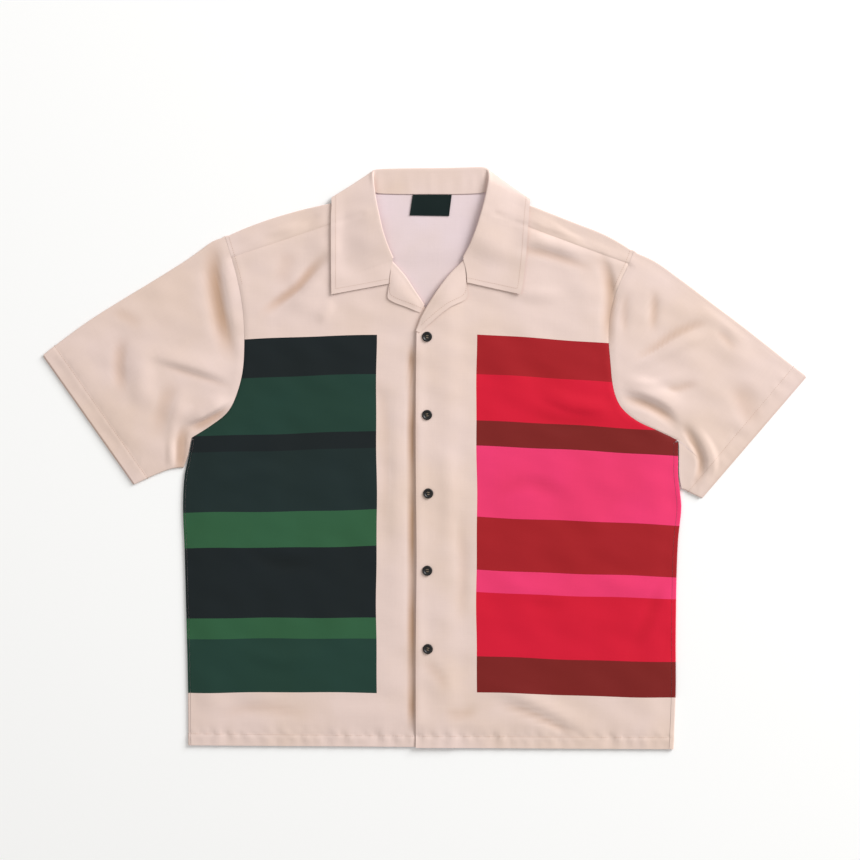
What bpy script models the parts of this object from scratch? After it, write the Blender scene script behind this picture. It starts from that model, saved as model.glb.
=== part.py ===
"""Camp-collar shirt with short sleeves, laid flat with its front up.

Units are metres in Blender; the tables and sizes below are in millimetres. +X is the viewer's right
(the wearer's left), +Y runs from the hem to the collar and +Z is up from the surface it lies on.
Every panel is a wall of cloth: a patch between four edges, lifted to a height and made solid.
"""
import math

import bmesh
import bpy
from mathutils import Vector
from mathutils.geometry import interpolate_bezier

MM = 0.001
NAME = "camp_collar_shirt"

# Cloth and layers
WALL = 1.1            # thickness of one wall of cloth
GAP = 0.35            # air between pieces at a seam or one above the other
LAYER = WALL + GAP    # from the middle of one wall to the next one above it
TURN_RISE = 1.9       # from the back to the front where the cloth turns over at an edge
LOFT = 1.5            # further rise of the front away from the edges
EDGE_SOFT = 34.0      # how far in from an edge the front reaches its full height
SEAM_INSET_RIGHT = 3.0   # side seam to side fold, wearer's right
SEAM_INSET_LEFT = 5.5    # and wearer's left, where the back shows round the side
HEM_PEEK = 2.2        # how far a sleeve's lower layer reaches past its upper one

BOX_MIDDLE_Y = 1.78   # the tables' y at the middle of the whole shirt's box, where the origin is

# How finely each panel is divided
PANEL_COLUMNS = 17
SIDE_ROWS = 12
ARMHOLE_ROWS = 12
SLEEVE_STATIONS = 9
TURN_STEPS = 4

SHOULDER_COLUMNS = 6
NECK_COLUMNS = 8

# Where the back rises over the part of the collar that lies under it
MIDDLE_X = 7.0
BACK_RISE_X = 160.0
BACK_RISE_Y = 236.0
BACK_RISE_SOFT = 28.0

# How many steps each stretch of the fronts' inner edge takes, from the underarm's level up
CLOSING_ROWS = {"right": 4, "left": 3}
LAPEL_ROWS = {"right": 5, "left": 6}

# What follows from these
TURN_INSET = TURN_RISE / 2 + WALL / 2   # from a folded edge to where the cloth starts to turn
SEAM_GAP = 0.25       # half of the gap between two pieces that meet at a seam
LEAF_LIFT = 0.4       # how much the collar's leaf rises towards its fold
LEAF_AIR = 0.4        # air under the leaf and the lapels beyond the gap between layers
LAPEL_AIR = 0.3

# Buttons, of the common 20-line shirt size
BUTTON_DIAMETER = 12.7
BUTTON_HEIGHT = 3.0
BUTTON_RIM = 1.5
BUTTON_DISH = 0.9
BUTTON_STEPS = 20

# Edges of the pieces, hem to collar or shoulder to hem, as (x, y)
SIDE_RIGHT = [(-295, -357), (-296, -270), (-298, -190), (-300, -113), (-302, -57), (-300, -20),
              (-297, -6), (-294.5, 5), (-292.5, 15), (-291, 25)]
SIDE_LEFT = [(311, -362), (314, -290), (314, -225), (315, -150), (317, -100), (321, -60),
             (319, -38), (317, -20), (317, 0), (317, 22)]
ARMHOLE_RIGHT = [(-291, 27), (-267, 42), (-246, 59), (-235, 80), (-227, 111), (-225, 150),
                 (-227, 188), (-233, 222), (-241, 252)]
ARMHOLE_LEFT = [(317, 24), (291, 36), (264, 49), (245, 66), (236, 88), (232, 122), (230, 155),
                (233, 186), (242, 216), (255, 244)]
CENTRE_RIGHT = [(19, -359), (19, -240), (19, -120), (19, 0), (19, 90)]
CENTRE_LEFT = [(-11, -360), (-11, -240), (-10, -120), (-11, 0), (-11, 90)]
CLOSING_RIGHT = [(19, 90), (19, 158), (9, 178), (-1, 192)]
CLOSING_LEFT = [(-11, 90), (-10, 160)]
LAPEL_FOLD_RIGHT = [(-1, 192), (-12, 208), (-26, 229), (-41, 246)]
LAPEL_FOLD_LEFT = [(-10, 160), (-3, 177), (6, 193), (19, 213), (33, 231), (50, 248)]
NECKLINE_RIGHT = [(-41, 246), (-58, 258), (-69, 274), (-75, 290), (-77, 306)]
NECKLINE_LEFT = [(50, 248), (67, 258), (78, 274), (85, 291), (87, 307)]
FORWARD_SEAM_RIGHT = [(-241, 252), (-181, 272), (-118, 293), (-77, 306)]
FORWARD_SEAM_LEFT = [(255, 244), (194, 266), (130, 290), (87, 307)]
SHOULDER_FOLD_RIGHT = [(-249, 278), (-224, 289), (-188, 302), (-151, 312.5), (-113, 321), (-74, 332)]
SHOULDER_FOLD_LEFT = [(261, 260), (242, 272), (223, 282), (182, 298), (151, 310), (130, 318), (90, 332)]
BACK_NECK = [(-74, 332), (-53, 330.5), (7, 330), (68, 330.5), (90, 332)]
SLEEVE_TOP_RIGHT = [(-249, 278), (-264, 273), (-281, 261), (-298, 249), (-336, 225), (-379, 199),
                    (-420, 173), (-457, 146), (-476, 131)]
SLEEVE_TOP_LEFT = [(261, 260), (289, 247), (320, 225), (357, 197), (406, 160), (454, 122), (476, 105)]
SLEEVE_UNDER_RIGHT = [(-303, -10), (-317, -12), (-331, -17), (-347, -24), (-362, -31)]
SLEEVE_UNDER_LEFT = [(323, -37), (333, -42), (345, -48)]
# The sleeve runs down beside the body's side from its lower end up to the armhole
SLEEVE_BESIDE_RIGHT = [(-300.8, -9), (-295.6, 5), (-293.2, 17)]
SLEEVE_BESIDE_LEFT = [(321, -36), (318.2, -20), (317.9, -2), (317.9, 14)]

# The lapels' outer edges, from the lower end up to the seam with the collar
LAPEL_EDGE_RIGHT = [(-5.5, 183), (-22, 190), (-38, 196), (-45.5, 201), (-46, 206.5), (-44.3, 217.0)]
LAPEL_EDGE_LEFT = [(-6, 158), (14, 176), (32, 190), (50, 199), (54, 205), (52.5, 218.5)]
LAPEL_UNDER = 7.0      # how far each facing reaches back under the front's edge

# Collar: (leaf_x, leaf_y, leaf_layer, fold_x, fold_y, seam_x, seam_y, turn) along the collar.
# leaf_layer is 1 where the leaf lies over the front, 0 where it lies under the back; turn is the
# side that the leaf is on, from 90 (above the stand) through 0 (at the shoulder) to -90 (below it).
COLLAR_RIGHT = [
    (-116.5, 221.0, 1.0, -38.5, 251.5, -42.5, 252.0, 90),
    (-116.7, 243.0, 1.0, -46.0, 269.0, -54.0, 262.0, 90),
    (-116.8, 265.0, 1.0, -51.5, 286.0, -64.0, 277.0, 90),
    (-116.8, 288.0, 1.0, -56.0, 305.0, -71.0, 295.0, 90),
    (-116.6, 305.0, 1.0, -60.0, 325.0, -73.0, 313.0, 84),
    (-116.0, 317.0, 0.97, -62.5, 343.0, -72.0, 325.0, 66),
    (-116.2, 323.5, 0.8, -63.4, 352.0, -70.5, 331.0, 40),
    (-115.6, 327.0, 0.5, -63.6, 357.5, -69.0, 334.5, 6),
    (-113.0, 327.0, 0.2, -62.6, 361.0, -67.0, 335.0, -28),
    (-108.5, 323.0, 0.02, -60.0, 362.3, -64.0, 334.5, -60),
    (-97.0, 311.0, 0.0, -54.0, 363.0, -56.0, 332.5, -84),
    (-75.0, 301.5, 0.0, -40.0, 363.5, -42.0, 331.8, -90),
    (-40.0, 296.5, 0.0, -18.0, 364.0, -18.0, 331.5, -90),
    (7.0, 294.5, 0.0, 7.0, 364.2, 7.0, 331.5, -90)]
COLLAR_LEFT = [
    (123.0, 221.0, 1.0, 47.5, 253.0, 51.5, 253.5, 90),
    (125.5, 243.0, 1.0, 55.5, 268.0, 63.0, 262.5, 90),
    (127.5, 265.0, 1.0, 62.5, 285.0, 74.0, 277.0, 90),
    (129.0, 288.0, 1.0, 69.0, 305.0, 81.0, 296.0, 90),
    (130.2, 304.0, 1.0, 74.5, 325.0, 84.0, 313.0, 84),
    (131.0, 315.0, 0.97, 78.5, 345.0, 85.5, 326.0, 66),
    (131.6, 321.5, 0.8, 79.2, 353.5, 85.5, 331.5, 40),
    (131.4, 325.0, 0.5, 78.8, 359.5, 84.5, 335.0, 6),
    (128.8, 325.2, 0.2, 77.6, 363.0, 82.5, 335.5, -28),
    (124.3, 321.5, 0.02, 75.0, 364.8, 79.5, 335.0, -60),
    (112.0, 310.0, 0.0, 69.0, 365.5, 71.0, 333.0, -84),
    (90.0, 301.5, 0.0, 55.0, 365.2, 57.0, 332.0, -90),
    (54.0, 296.5, 0.0, 33.0, 364.6, 33.0, 331.5, -90),
    (7.0, 294.5, 0.0, 7.0, 364.2, 7.0, 331.5, -90)]
# The collar's ends lie flat beside the lapels: (leaf_x, leaf_y, seam_x, seam_y)
COLLAR_END_RIGHT = [(-116.2, 206.0, -45.8, 219.5), (-116.4, 213.0, -44.0, 234.0)]
COLLAR_END_LEFT = [(119.7, 206.0, 54.4, 221.0), (121.6, 213.0, 53.1, 236.0)]
COLLAR_ROLL = 1.5      # radius of the collar's fold
LEAF_COLUMNS = 6
STAND_COLUMNS = 3

# Where the wearer's left front rises over the right one: beside its edge, up to the lapel's end
OVER_X = 52.0
OVER_SOFT_X = 26.0
OVER_Y = 262.0
OVER_SOFT_Y = 60.0
LAPEL_END = (5.0, 176.0)
LAPEL_END_REACH = 66.0
LAPEL_END_SOFT = 44.0

# Centres of the buttons, top to bottom, and the label's corners: two below, then two above
BUTTONS = [(3.1, 153.1), (3.1, 55.6), (4.6, -42.3), (3.4, -138.6), (4.1, -236.3)]
LABEL = [(-18.6, 304.7), (30.6, 303.9), (-14.8, 329.6), (33.9, 329.6)]

# Large soft folds: (x0, y0, x1, y1, half_width, height), a trough where height is below zero
FOLDS = [
    (-126, 252, -172, 205, 17, -2.2),
    (-100, 238, -150, 196, 16, 1.9),
    (-255, 262, -258, 165, 15, -2.0),
    (-276, 255, -282, 170, 15, 2.0),
    (-377, 142, -380, 90, 14, -1.8),
    (-350, 150, -342, 108, 18, 1.6),
    (-330, 82, -352, 10, 18, 2.0),
    (-308, 36, -306, -2, 10, -1.2),
    (-302, 78, -262, 98, 16, 1.8),
    (134, 262, 230, 236, 16, -2.0),
    (142, 285, 222, 256, 15, 1.4),
    (155, 62, 232, 44, 16, 1.9),
    (150, 38, 215, 22, 15, -1.2),
    (300, 175, 352, 130, 18, 1.8),
    (330, 195, 392, 142, 17, -1.4),
    (341, 40, 352, -26, 15, -1.6),
    (322, 42, 330, -20, 12, 1.6),
    (372, 62, 392, 22, 17, 1.7),
    (105, -293, 222, -346, 17, -1.7),
    (130, -276, 238, -326, 16, 1.8),
    (-20, 66, -22, -60, 12, -1.1),
    (-48, 40, -46, -120, 18, 1.1),
    (50, 60, 46, -90, 18, 1.2),
    (-262, -60, -180, -20, 22, 1.3),
    (-240, -230, -120, -262, 24, 1.2),
    (60, -150, 150, -120, 24, 1.2),
    (245, -190, 292, -90, 20, 1.3)]

# Colours: cloth outside, cloth inside of the neck, panels of colour, label and buttons
COLOURS = {
    "cream": (0.78, 0.64, 0.53, 1.0),
    "green": (0.02, 0.08, 0.06, 1.0),
    "red": (0.62, 0.02, 0.06, 1.0),
    "label": (0.006, 0.016, 0.016, 1.0),
    "button": (0.02, 0.014, 0.012, 1.0)}


def smooth(value):
    """0 to 1 with soft ends."""
    value = min(1.0, max(0.0, value))
    return value * value * (3.0 - 2.0 * value)


def curve_through(points, steps):
    """Points at even lengths along a smooth curve through a table's points."""
    vectors = [Vector(p) for p in points]
    fine = []
    for i in range(len(vectors) - 1):
        a, b = vectors[i], vectors[i + 1]
        before = vectors[max(i - 1, 0)]
        after = vectors[min(i + 2, len(vectors) - 1)]
        span = (b - a).length
        tangent_a = (b - before).normalized() * span / 3.0
        tangent_b = (after - a).normalized() * span / 3.0
        part = interpolate_bezier(a.to_3d(), (a + tangent_a).to_3d(), (b - tangent_b).to_3d(),
                                  b.to_3d(), 9)
        fine += part[:-1]
    fine.append(vectors[-1].to_3d())
    lengths = [0.0]
    for a, b in zip(fine, fine[1:]):
        lengths.append(lengths[-1] + (b - a).length)
    result = []
    index = 0
    for step in range(steps + 1):
        wanted = lengths[-1] * step / steps
        while index < len(fine) - 2 and lengths[index + 1] < wanted:
            index += 1
        part = (wanted - lengths[index]) / (lengths[index + 1] - lengths[index])
        result.append(fine[index].lerp(fine[index + 1], min(part, 1.0)).to_2d())
    return result


def moved_aside(points, distance):
    """The same line, moved to the left of its direction."""
    result = []
    for i, point in enumerate(points):
        along = points[min(i + 1, len(points) - 1)] - points[max(i - 1, 0)]
        along.normalize()
        result.append(point + Vector((-along.y, along.x)) * distance)
    return result


def patch(start, end, first, last):
    """Rows of points between four edges: first and last rows, start and end of every row."""
    rows, columns = len(start) - 1, len(first) - 1
    grid = []
    for j in range(rows + 1):
        v = j / rows
        row = []
        for i in range(columns + 1):
            u = i / columns
            ruled = start[j].lerp(end[j], u) + first[i].lerp(last[i], v)
            corners = first[0].lerp(first[-1], u).lerp(last[0].lerp(last[-1], u), v)
            row.append(ruled - corners)
        grid.append(row)
    return grid


def straight(a, b, steps):
    return [a.lerp(b, i / steps) for i in range(steps + 1)]


def distance_to_segment(point, a, b):
    """How far a point is from a segment, and how far along the segment it is."""
    along = b - a
    part = (point - a).dot(along) / along.length_squared
    nearest = a + along * min(1.0, max(0.0, part))
    return (point - nearest).length, part


def garment_outline():
    """The outer edge of the laid-out shirt without the neck, as short straight pieces."""
    runs = [SIDE_RIGHT, SLEEVE_UNDER_RIGHT, [SLEEVE_UNDER_RIGHT[-1], SLEEVE_TOP_RIGHT[-1]],
            SLEEVE_TOP_RIGHT, SHOULDER_FOLD_RIGHT, SIDE_LEFT, SLEEVE_UNDER_LEFT,
            [SLEEVE_UNDER_LEFT[-1], SLEEVE_TOP_LEFT[-1]], SLEEVE_TOP_LEFT, SHOULDER_FOLD_LEFT,
            [SIDE_RIGHT[0], SIDE_LEFT[0]]]
    pieces = []
    for run in runs:
        corners = [Vector(p) for p in run]
        pieces += list(zip(corners, corners[1:]))
    return pieces


OUTLINE = garment_outline()


def folds_height(point):
    """All the soft folds at one place."""
    height = 0.0
    for x0, y0, x1, y1, half_width, rise in FOLDS:
        off, part = distance_to_segment(point, Vector((x0, y0)), Vector((x1, y1)))
        if off < half_width:
            ends = smooth(min(part, 1.0 - part) * 3.0 + 0.35)
            height += rise * ends * (0.5 + 0.5 * math.cos(math.pi * off / half_width))
    return height


def back_height(point):
    """The back lies on the surface and rises over the part of the collar that lies under it."""
    rise_y = smooth((point.y - BACK_RISE_Y) / BACK_RISE_SOFT)
    rise_x = smooth((BACK_RISE_X - abs(point.x - MIDDLE_X)) / BACK_RISE_SOFT)
    return WALL / 2 + LAYER * rise_x * rise_y


def front_height(point):
    """The front over the back: low at the garment's edges, full inside, with its folds."""
    inside = min(distance_to_segment(point, a, b)[0] for a, b in OUTLINE)
    inner = smooth(inside / EDGE_SOFT)
    return back_height(point) + TURN_RISE + inner * (LOFT + folds_height(point))


def over_height(point):
    """The wearer's left front, which rises over the right one at the closing."""
    over = smooth((OVER_X - point.x) / OVER_SOFT_X) * smooth((OVER_Y - point.y) / OVER_SOFT_Y)
    off = (point - Vector(LAPEL_END)).length
    lapel_end = smooth((LAPEL_END_REACH - off) / LAPEL_END_SOFT)
    return front_height(point) + LAYER * (over + lapel_end)


def normals(points):
    """Unit vectors to the left of a line at each of its points."""
    return [aside - point for aside, point in zip(moved_aside(points, 1.0), points)]


def turned(point, away, low, high):
    """Points round a folded edge, from the low layer to the high one, bulging away from a point."""
    radius = (high - low) / 2
    spots = []
    for k in range(1, TURN_STEPS):
        angle = math.pi * k / TURN_STEPS - math.pi / 2
        aside = point + away * radius * math.cos(angle)
        spots.append(Vector((aside.x, aside.y, low + radius + radius * math.sin(angle))))
    return spots


def at(point, height):
    return Vector((point.x, point.y, height))


def wall_of(name, grid, colour, ring=False):
    """A wall of cloth from rows of points in millimetres; None in a row leaves a place out."""
    shape = bmesh.new()
    corners = [[p and shape.verts.new(p * MM) for p in row] for row in grid]
    for near, far in zip(corners, corners[1:]):
        for i in range(len(near) - (0 if ring else 1)):
            after = (i + 1) % len(near)
            face = (near[i], near[after], far[after], far[i])
            if all(face):
                shape.faces.new(face).smooth = True
    for vertex in [v for v in shape.verts if not v.link_faces]:
        shape.verts.remove(vertex)
    mesh = bpy.data.meshes.new(name)
    shape.to_mesh(mesh)
    shape.free()
    piece = bpy.data.objects.new(name, mesh)
    wall = piece.modifiers.new("wall", "SOLIDIFY")
    wall.thickness = WALL * MM
    wall.offset = 0.0
    return finished(piece, colour)


def finished(piece, colour):
    """Into the shirt's collection, with its own material."""
    material = bpy.data.materials.new(piece.name)
    material.use_nodes = True
    shader = material.node_tree.nodes["Principled BSDF"]
    shader.inputs["Base Color"].default_value = COLOURS[colour]
    shader.inputs["Roughness"].default_value = 0.35 if colour == "button" else 0.75
    piece.data.materials.append(material)
    piece.location.y -= BOX_MIDDLE_Y * MM
    bpy.data.collections[NAME].objects.link(piece)
    return piece


def inner_edge(side):
    """The front's inner edge above the underarm: closing, lapel fold and neckline."""
    right = side == "right"
    closing = curve_through(CLOSING_RIGHT if right else CLOSING_LEFT, CLOSING_ROWS[side])
    lapel = lapel_fold(side)
    neck_rows = ARMHOLE_ROWS - CLOSING_ROWS[side] - LAPEL_ROWS[side]
    neckline = curve_through(NECKLINE_RIGHT if right else NECKLINE_LEFT, neck_rows)
    return closing + lapel[1:] + neckline[1:]


def lapel_fold(side):
    return curve_through(LAPEL_FOLD_RIGHT if side == "right" else LAPEL_FOLD_LEFT, LAPEL_ROWS[side])


def front(side, body_side, armhole, centre, seam, inset, away, height, colour):
    """One front: hem to underarm, then underarm to the forward shoulder seam."""
    side_line = moved_aside(curve_through(body_side, SIDE_ROWS), away * (inset + GAP))
    arm_line = moved_aside(curve_through(armhole, ARMHOLE_ROWS), away * SEAM_GAP)
    side_line[-1] = arm_line[0]
    centre_line = curve_through(centre, SIDE_ROWS)
    neck_line = inner_edge(side)
    hem = straight(side_line[0], centre_line[0], PANEL_COLUMNS)
    middle = straight(arm_line[0], centre_line[-1], PANEL_COLUMNS)
    shoulder = curve_through(seam, PANEL_COLUMNS)
    shoulder[0], shoulder[-1] = arm_line[-1], neck_line[-1]
    lower = patch(side_line, centre_line, hem, middle)
    upper = patch(arm_line, neck_line, middle, shoulder)
    grid = [[at(p, height(p)) for p in row] for row in lower[:-1] + upper]
    if away > 0:
        grid = [row[::-1] for row in grid]
    return wall_of("front_" + side, grid, colour)


def armhole_to_fold(armhole, fold):
    """The whole armhole edge: up the front to the forward seam, then on to the shoulder's fold."""
    return curve_through(armhole, ARMHOLE_ROWS) + [Vector(fold[0])]


def side_turn(line, away, inset):
    """The back's turn round one side: from the back's edge up and in to the side seam."""
    columns = []
    for point, left in zip(line, normals(line)):
        out = left * away
        high = front_height(point)
        inner = point - out * (inset - TURN_INSET)
        spots = turned(point, out, back_height(point), high)
        columns.append(spots + [at(point, high), at(inner, front_height(inner))])
    return columns


def back():
    """The back panel, with its turns round both sides and over both shoulders."""
    side_r = moved_aside(curve_through(SIDE_RIGHT, SIDE_ROWS), -TURN_INSET)
    side_l = moved_aside(curve_through(SIDE_LEFT, SIDE_ROWS), TURN_INSET)
    arm_r = moved_aside(armhole_to_fold(ARMHOLE_RIGHT, SHOULDER_FOLD_RIGHT), -SEAM_GAP)
    arm_l = moved_aside(armhole_to_fold(ARMHOLE_LEFT, SHOULDER_FOLD_LEFT), SEAM_GAP)
    side_r[-1], side_l[-1] = arm_r[0], arm_l[0]
    fold_r = moved_aside(curve_through(SHOULDER_FOLD_RIGHT, SHOULDER_COLUMNS), -TURN_INSET)
    fold_l = moved_aside(curve_through(SHOULDER_FOLD_LEFT, SHOULDER_COLUMNS), TURN_INSET)
    fold_r[0], fold_l[0] = arm_r[-1], arm_l[-1]
    neck = curve_through(BACK_NECK, NECK_COLUMNS)
    top = fold_r + neck[1:-1] + fold_l[::-1]
    columns = len(top) - 1
    middle = straight(arm_r[0], arm_l[0], columns)
    lower = patch(side_r, side_l, straight(side_r[0], side_l[0], columns), middle)
    upper = patch(arm_r, arm_l, middle, top)
    flat = [[at(p, back_height(p)) for p in row] for row in lower[:-1] + upper]
    turn_r = side_turn(side_r, 1.0, SEAM_INSET_RIGHT)
    turn_l = side_turn(side_l, -1.0, SEAM_INSET_LEFT)
    none = [None] * (TURN_STEPS + 1)
    grid = []
    for j, row in enumerate(flat):
        left = turn_r[j][::-1] if j < SIDE_ROWS else none
        right = turn_l[j] if j < SIDE_ROWS else none
        grid.append(left + row + right)
    # over the shoulders: the turn, then the strip of the back that comes forward to the seam
    over = []
    for fold, seam, away in ((fold_r, FORWARD_SEAM_RIGHT, 1.0), (fold_l, FORWARD_SEAM_LEFT, -1.0)):
        seam_line = moved_aside(curve_through(seam, SHOULDER_COLUMNS), away * SEAM_GAP)
        strips = []
        for point, left, end in zip(fold, normals(fold), seam_line):
            out = left * away
            half = point.lerp(end, 0.5)
            high = front_height(point)
            strips.append(turned(point, out, back_height(point), high)
                          + [at(point, high), at(half, front_height(half)),
                             at(end, front_height(end))])
        over.append(strips)
    blank = [None] * (NECK_COLUMNS - 1)
    for k in range(TURN_STEPS + 2):
        row = [strip[k] for strip in over[0]] + blank + [strip[k] for strip in over[1][::-1]]
        grid.append(none + row + none)
    return wall_of("back", grid, "cream")


def facing(side, lapel_edge, away, height):
    """A lapel: under the front's edge, round its fold and out to the lapel's edge."""
    fold_line = lapel_fold(side)
    edge_line = curve_through(lapel_edge, LAPEL_ROWS[side])
    grid = []
    for fold, edge, left in zip(fold_line, edge_line, normals(fold_line)):
        out = -left * away
        under = fold - out * LAPEL_UNDER
        low = height(fold) - LAYER
        row = [at(under, height(under) - LAYER), at(fold, low)]
        row += turned(fold, out, low, height(fold) + LAYER)
        for step in range(LEAF_COLUMNS):
            part = step / (LEAF_COLUMNS - 1)
            spot = fold.lerp(edge, part)
            row.append(at(spot, height(spot) + LAYER + LAPEL_AIR * smooth(part * 4)))
        grid.append(row)
    if away > 0:
        grid = [row[::-1] for row in grid]
    return wall_of("facing_" + side, grid, "cream")


def collar_half(ends, table, side):
    """Rows of the collar from one end to its middle: the leaf, its fold and the stand."""
    rows = []
    width = LEAF_COLUMNS + TURN_STEPS + STAND_COLUMNS
    for leaf_x, leaf_y, seam_x, seam_y in ends:
        leaf, seam = Vector((leaf_x, leaf_y)), Vector((seam_x, seam_y))
        row = []
        for step in range(LEAF_COLUMNS + 1):
            part = step / LEAF_COLUMNS
            spot = leaf.lerp(seam, part)
            row.append(at(spot, front_height(spot) + LAYER + LEAF_AIR + LEAF_LIFT * smooth(part)))
        rows.append(row + [None] * (width - LEAF_COLUMNS))
    for leaf_x, leaf_y, layer, fold_x, fold_y, seam_x, seam_y, turn in table:
        leaf, fold, seam = Vector((leaf_x, leaf_y)), Vector((fold_x, fold_y)), Vector((seam_x, seam_y))
        out = (fold - leaf.lerp(seam, 0.5)).normalized()
        beside = Vector((-out.y, out.x)) * side
        tilt = math.radians(turn)
        over = at(beside * math.cos(tilt), math.sin(tilt))
        seam_z = back_height(seam) + (front_height(seam) - back_height(seam)) * layer
        low_centre = WALL / 2 + COLLAR_ROLL
        middle = fold - out * (COLLAR_ROLL + WALL / 2)
        centre = at(middle, low_centre + (seam_z + COLLAR_ROLL - low_centre) * layer)
        start = centre + over * COLLAR_ROLL
        row = []
        for step in range(LEAF_COLUMNS):
            part = step / LEAF_COLUMNS
            spot = leaf.lerp(start.to_2d(), part)
            rise = start.z - front_height(start.to_2d()) - LAYER - LEAF_AIR
            upper = front_height(spot) + LAYER + LEAF_AIR + rise * smooth(part)
            row.append(at(spot, WALL / 2 + (upper - WALL / 2) * layer))
        for k in range(TURN_STEPS + 1):
            angle = math.pi * k / TURN_STEPS
            row.append(centre + over * COLLAR_ROLL * math.cos(angle)
                       + at(out, 0.0) * COLLAR_ROLL * math.sin(angle))
        for step in range(1, STAND_COLUMNS + 1):
            row.append(row[LEAF_COLUMNS + TURN_STEPS].lerp(at(seam, seam_z), step / STAND_COLUMNS))
        rows.append(row)
    return rows


def collar():
    """Leaf, fold and stand in one, from the right end round the back of the neck to the left end."""
    right = collar_half(COLLAR_END_RIGHT, COLLAR_RIGHT, 1.0)
    left = collar_half(COLLAR_END_LEFT, COLLAR_LEFT, -1.0)
    return wall_of("collar", right + left[-2::-1], "cream")


def sleeve(name, top, under, beside, armhole, fold, away):
    """A flat tube of rings from the armhole to the straight hem."""
    top_line = moved_aside(curve_through(top, SLEEVE_STATIONS), away * TURN_INSET)
    under_line = moved_aside(curve_through(under, SLEEVE_STATIONS), -away * TURN_INSET)
    beside_line = [Vector(p) for p in beside]
    arm_line = (beside_line + moved_aside(armhole_to_fold(armhole, fold), away * SEAM_GAP))[::-1]
    top_line[0], under_line[0] = arm_line[0], arm_line[-1]
    hem = straight(top_line[-1], under_line[-1], len(arm_line) - 1)
    layers = patch(top_line, under_line, arm_line, hem)
    to_hem = (top_line[-1] - top_line[-2]).normalized() * HEM_PEEK
    top_out, under_out = normals(top_line), normals(under_line)
    grid = []
    for j, line in enumerate(layers):
        peek = to_hem * smooth(j - len(layers) + 2)
        upper = [at(p, front_height(p)) for p in line]
        lower = [at(p + peek, WALL / 2) for p in line]
        round_under = turned(line[-1], under_out[j] * away, lower[-1].z, upper[-1].z)[::-1]
        round_top = turned(line[0], -top_out[j] * away, lower[0].z, upper[0].z)
        ring = upper + round_under + lower[::-1] + round_top
        grid.append(ring if away < 0 else ring[::-1])
    return wall_of(name, grid, "cream", ring=True)


def label():
    """The bare label on the inside of the back, under the neck seam."""
    corners = [Vector(p) for p in LABEL]
    rows = (corners[:2], corners[2:])
    return wall_of("label", [[at(p, back_height(p) + LAYER) for p in row] for row in rows], "label")


def button(name, x, y):
    """A turned shirt button with a raised rim and a dished middle."""
    radius = BUTTON_DIAMETER / 2
    rim = radius - BUTTON_RIM
    profile = [(0.0, BUTTON_HEIGHT - BUTTON_DISH), (rim * 0.7, BUTTON_HEIGHT - BUTTON_DISH),
               (rim, BUTTON_HEIGHT - 0.2), (radius - 0.6, BUTTON_HEIGHT), (radius, BUTTON_HEIGHT * 0.6),
               (radius - 0.3, BUTTON_HEIGHT * 0.35), (radius * 0.6, 0.0), (0.0, 0.0)]
    mesh = bpy.data.meshes.new(name)
    mesh.from_pydata([(r * MM, 0.0, z * MM) for r, z in profile],
                     [(i, i + 1) for i in range(len(profile) - 1)], [])
    piece = bpy.data.objects.new(name, mesh)
    spin = piece.modifiers.new("turned", "SCREW")
    spin.steps = spin.render_steps = BUTTON_STEPS
    spin.use_merge_vertices = True
    spin.merge_threshold = 0.00001
    place = Vector((x, y))
    piece.location = at(place, over_height(place) + WALL / 2 + GAP) * MM
    return finished(piece, "button")


def build():
    for thing in list(bpy.data.objects):
        bpy.data.objects.remove(thing)
    shirt = bpy.data.collections.new(NAME)
    bpy.context.scene.collection.children.link(shirt)
    back()
    front("right", SIDE_RIGHT, ARMHOLE_RIGHT, CENTRE_RIGHT, FORWARD_SEAM_RIGHT,
          SEAM_INSET_RIGHT, -1.0, front_height, "green")
    front("left", SIDE_LEFT, ARMHOLE_LEFT, CENTRE_LEFT, FORWARD_SEAM_LEFT,
          SEAM_INSET_LEFT, 1.0, over_height, "red")
    facing("right", LAPEL_EDGE_RIGHT, 1.0, front_height)
    facing("left", LAPEL_EDGE_LEFT, -1.0, over_height)
    collar()
    sleeve("sleeve_right", SLEEVE_TOP_RIGHT, SLEEVE_UNDER_RIGHT, SLEEVE_BESIDE_RIGHT,
           ARMHOLE_RIGHT, SHOULDER_FOLD_RIGHT, 1.0)
    sleeve("sleeve_left", SLEEVE_TOP_LEFT, SLEEVE_UNDER_LEFT, SLEEVE_BESIDE_LEFT,
           ARMHOLE_LEFT, SHOULDER_FOLD_LEFT, -1.0)
    label()
    for number, (x, y) in enumerate(BUTTONS, 1):
        button(f"button_{number}", x, y)


build()
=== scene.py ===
"""The looks of a camp-collar shirt laid flat, front up: fine cloth shells on the solids' form, with
creases, stitching, bands of colour, label and buttons. Tables and sizes are in millimetres,
pieces in metres."""
import math

import bmesh
import bpy
import numpy as np
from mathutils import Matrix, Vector


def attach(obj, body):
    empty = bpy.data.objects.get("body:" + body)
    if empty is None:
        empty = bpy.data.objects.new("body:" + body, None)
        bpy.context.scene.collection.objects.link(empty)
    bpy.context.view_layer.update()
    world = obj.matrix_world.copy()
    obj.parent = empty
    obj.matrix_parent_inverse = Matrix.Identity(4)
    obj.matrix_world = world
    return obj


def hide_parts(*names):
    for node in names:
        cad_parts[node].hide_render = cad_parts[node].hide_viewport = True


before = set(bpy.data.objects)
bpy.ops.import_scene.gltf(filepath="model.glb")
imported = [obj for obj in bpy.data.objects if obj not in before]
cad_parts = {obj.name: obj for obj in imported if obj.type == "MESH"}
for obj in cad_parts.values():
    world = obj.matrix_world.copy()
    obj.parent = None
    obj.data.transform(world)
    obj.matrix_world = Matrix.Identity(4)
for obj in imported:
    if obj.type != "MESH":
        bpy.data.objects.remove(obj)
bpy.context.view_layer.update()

MM = 0.001
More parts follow.
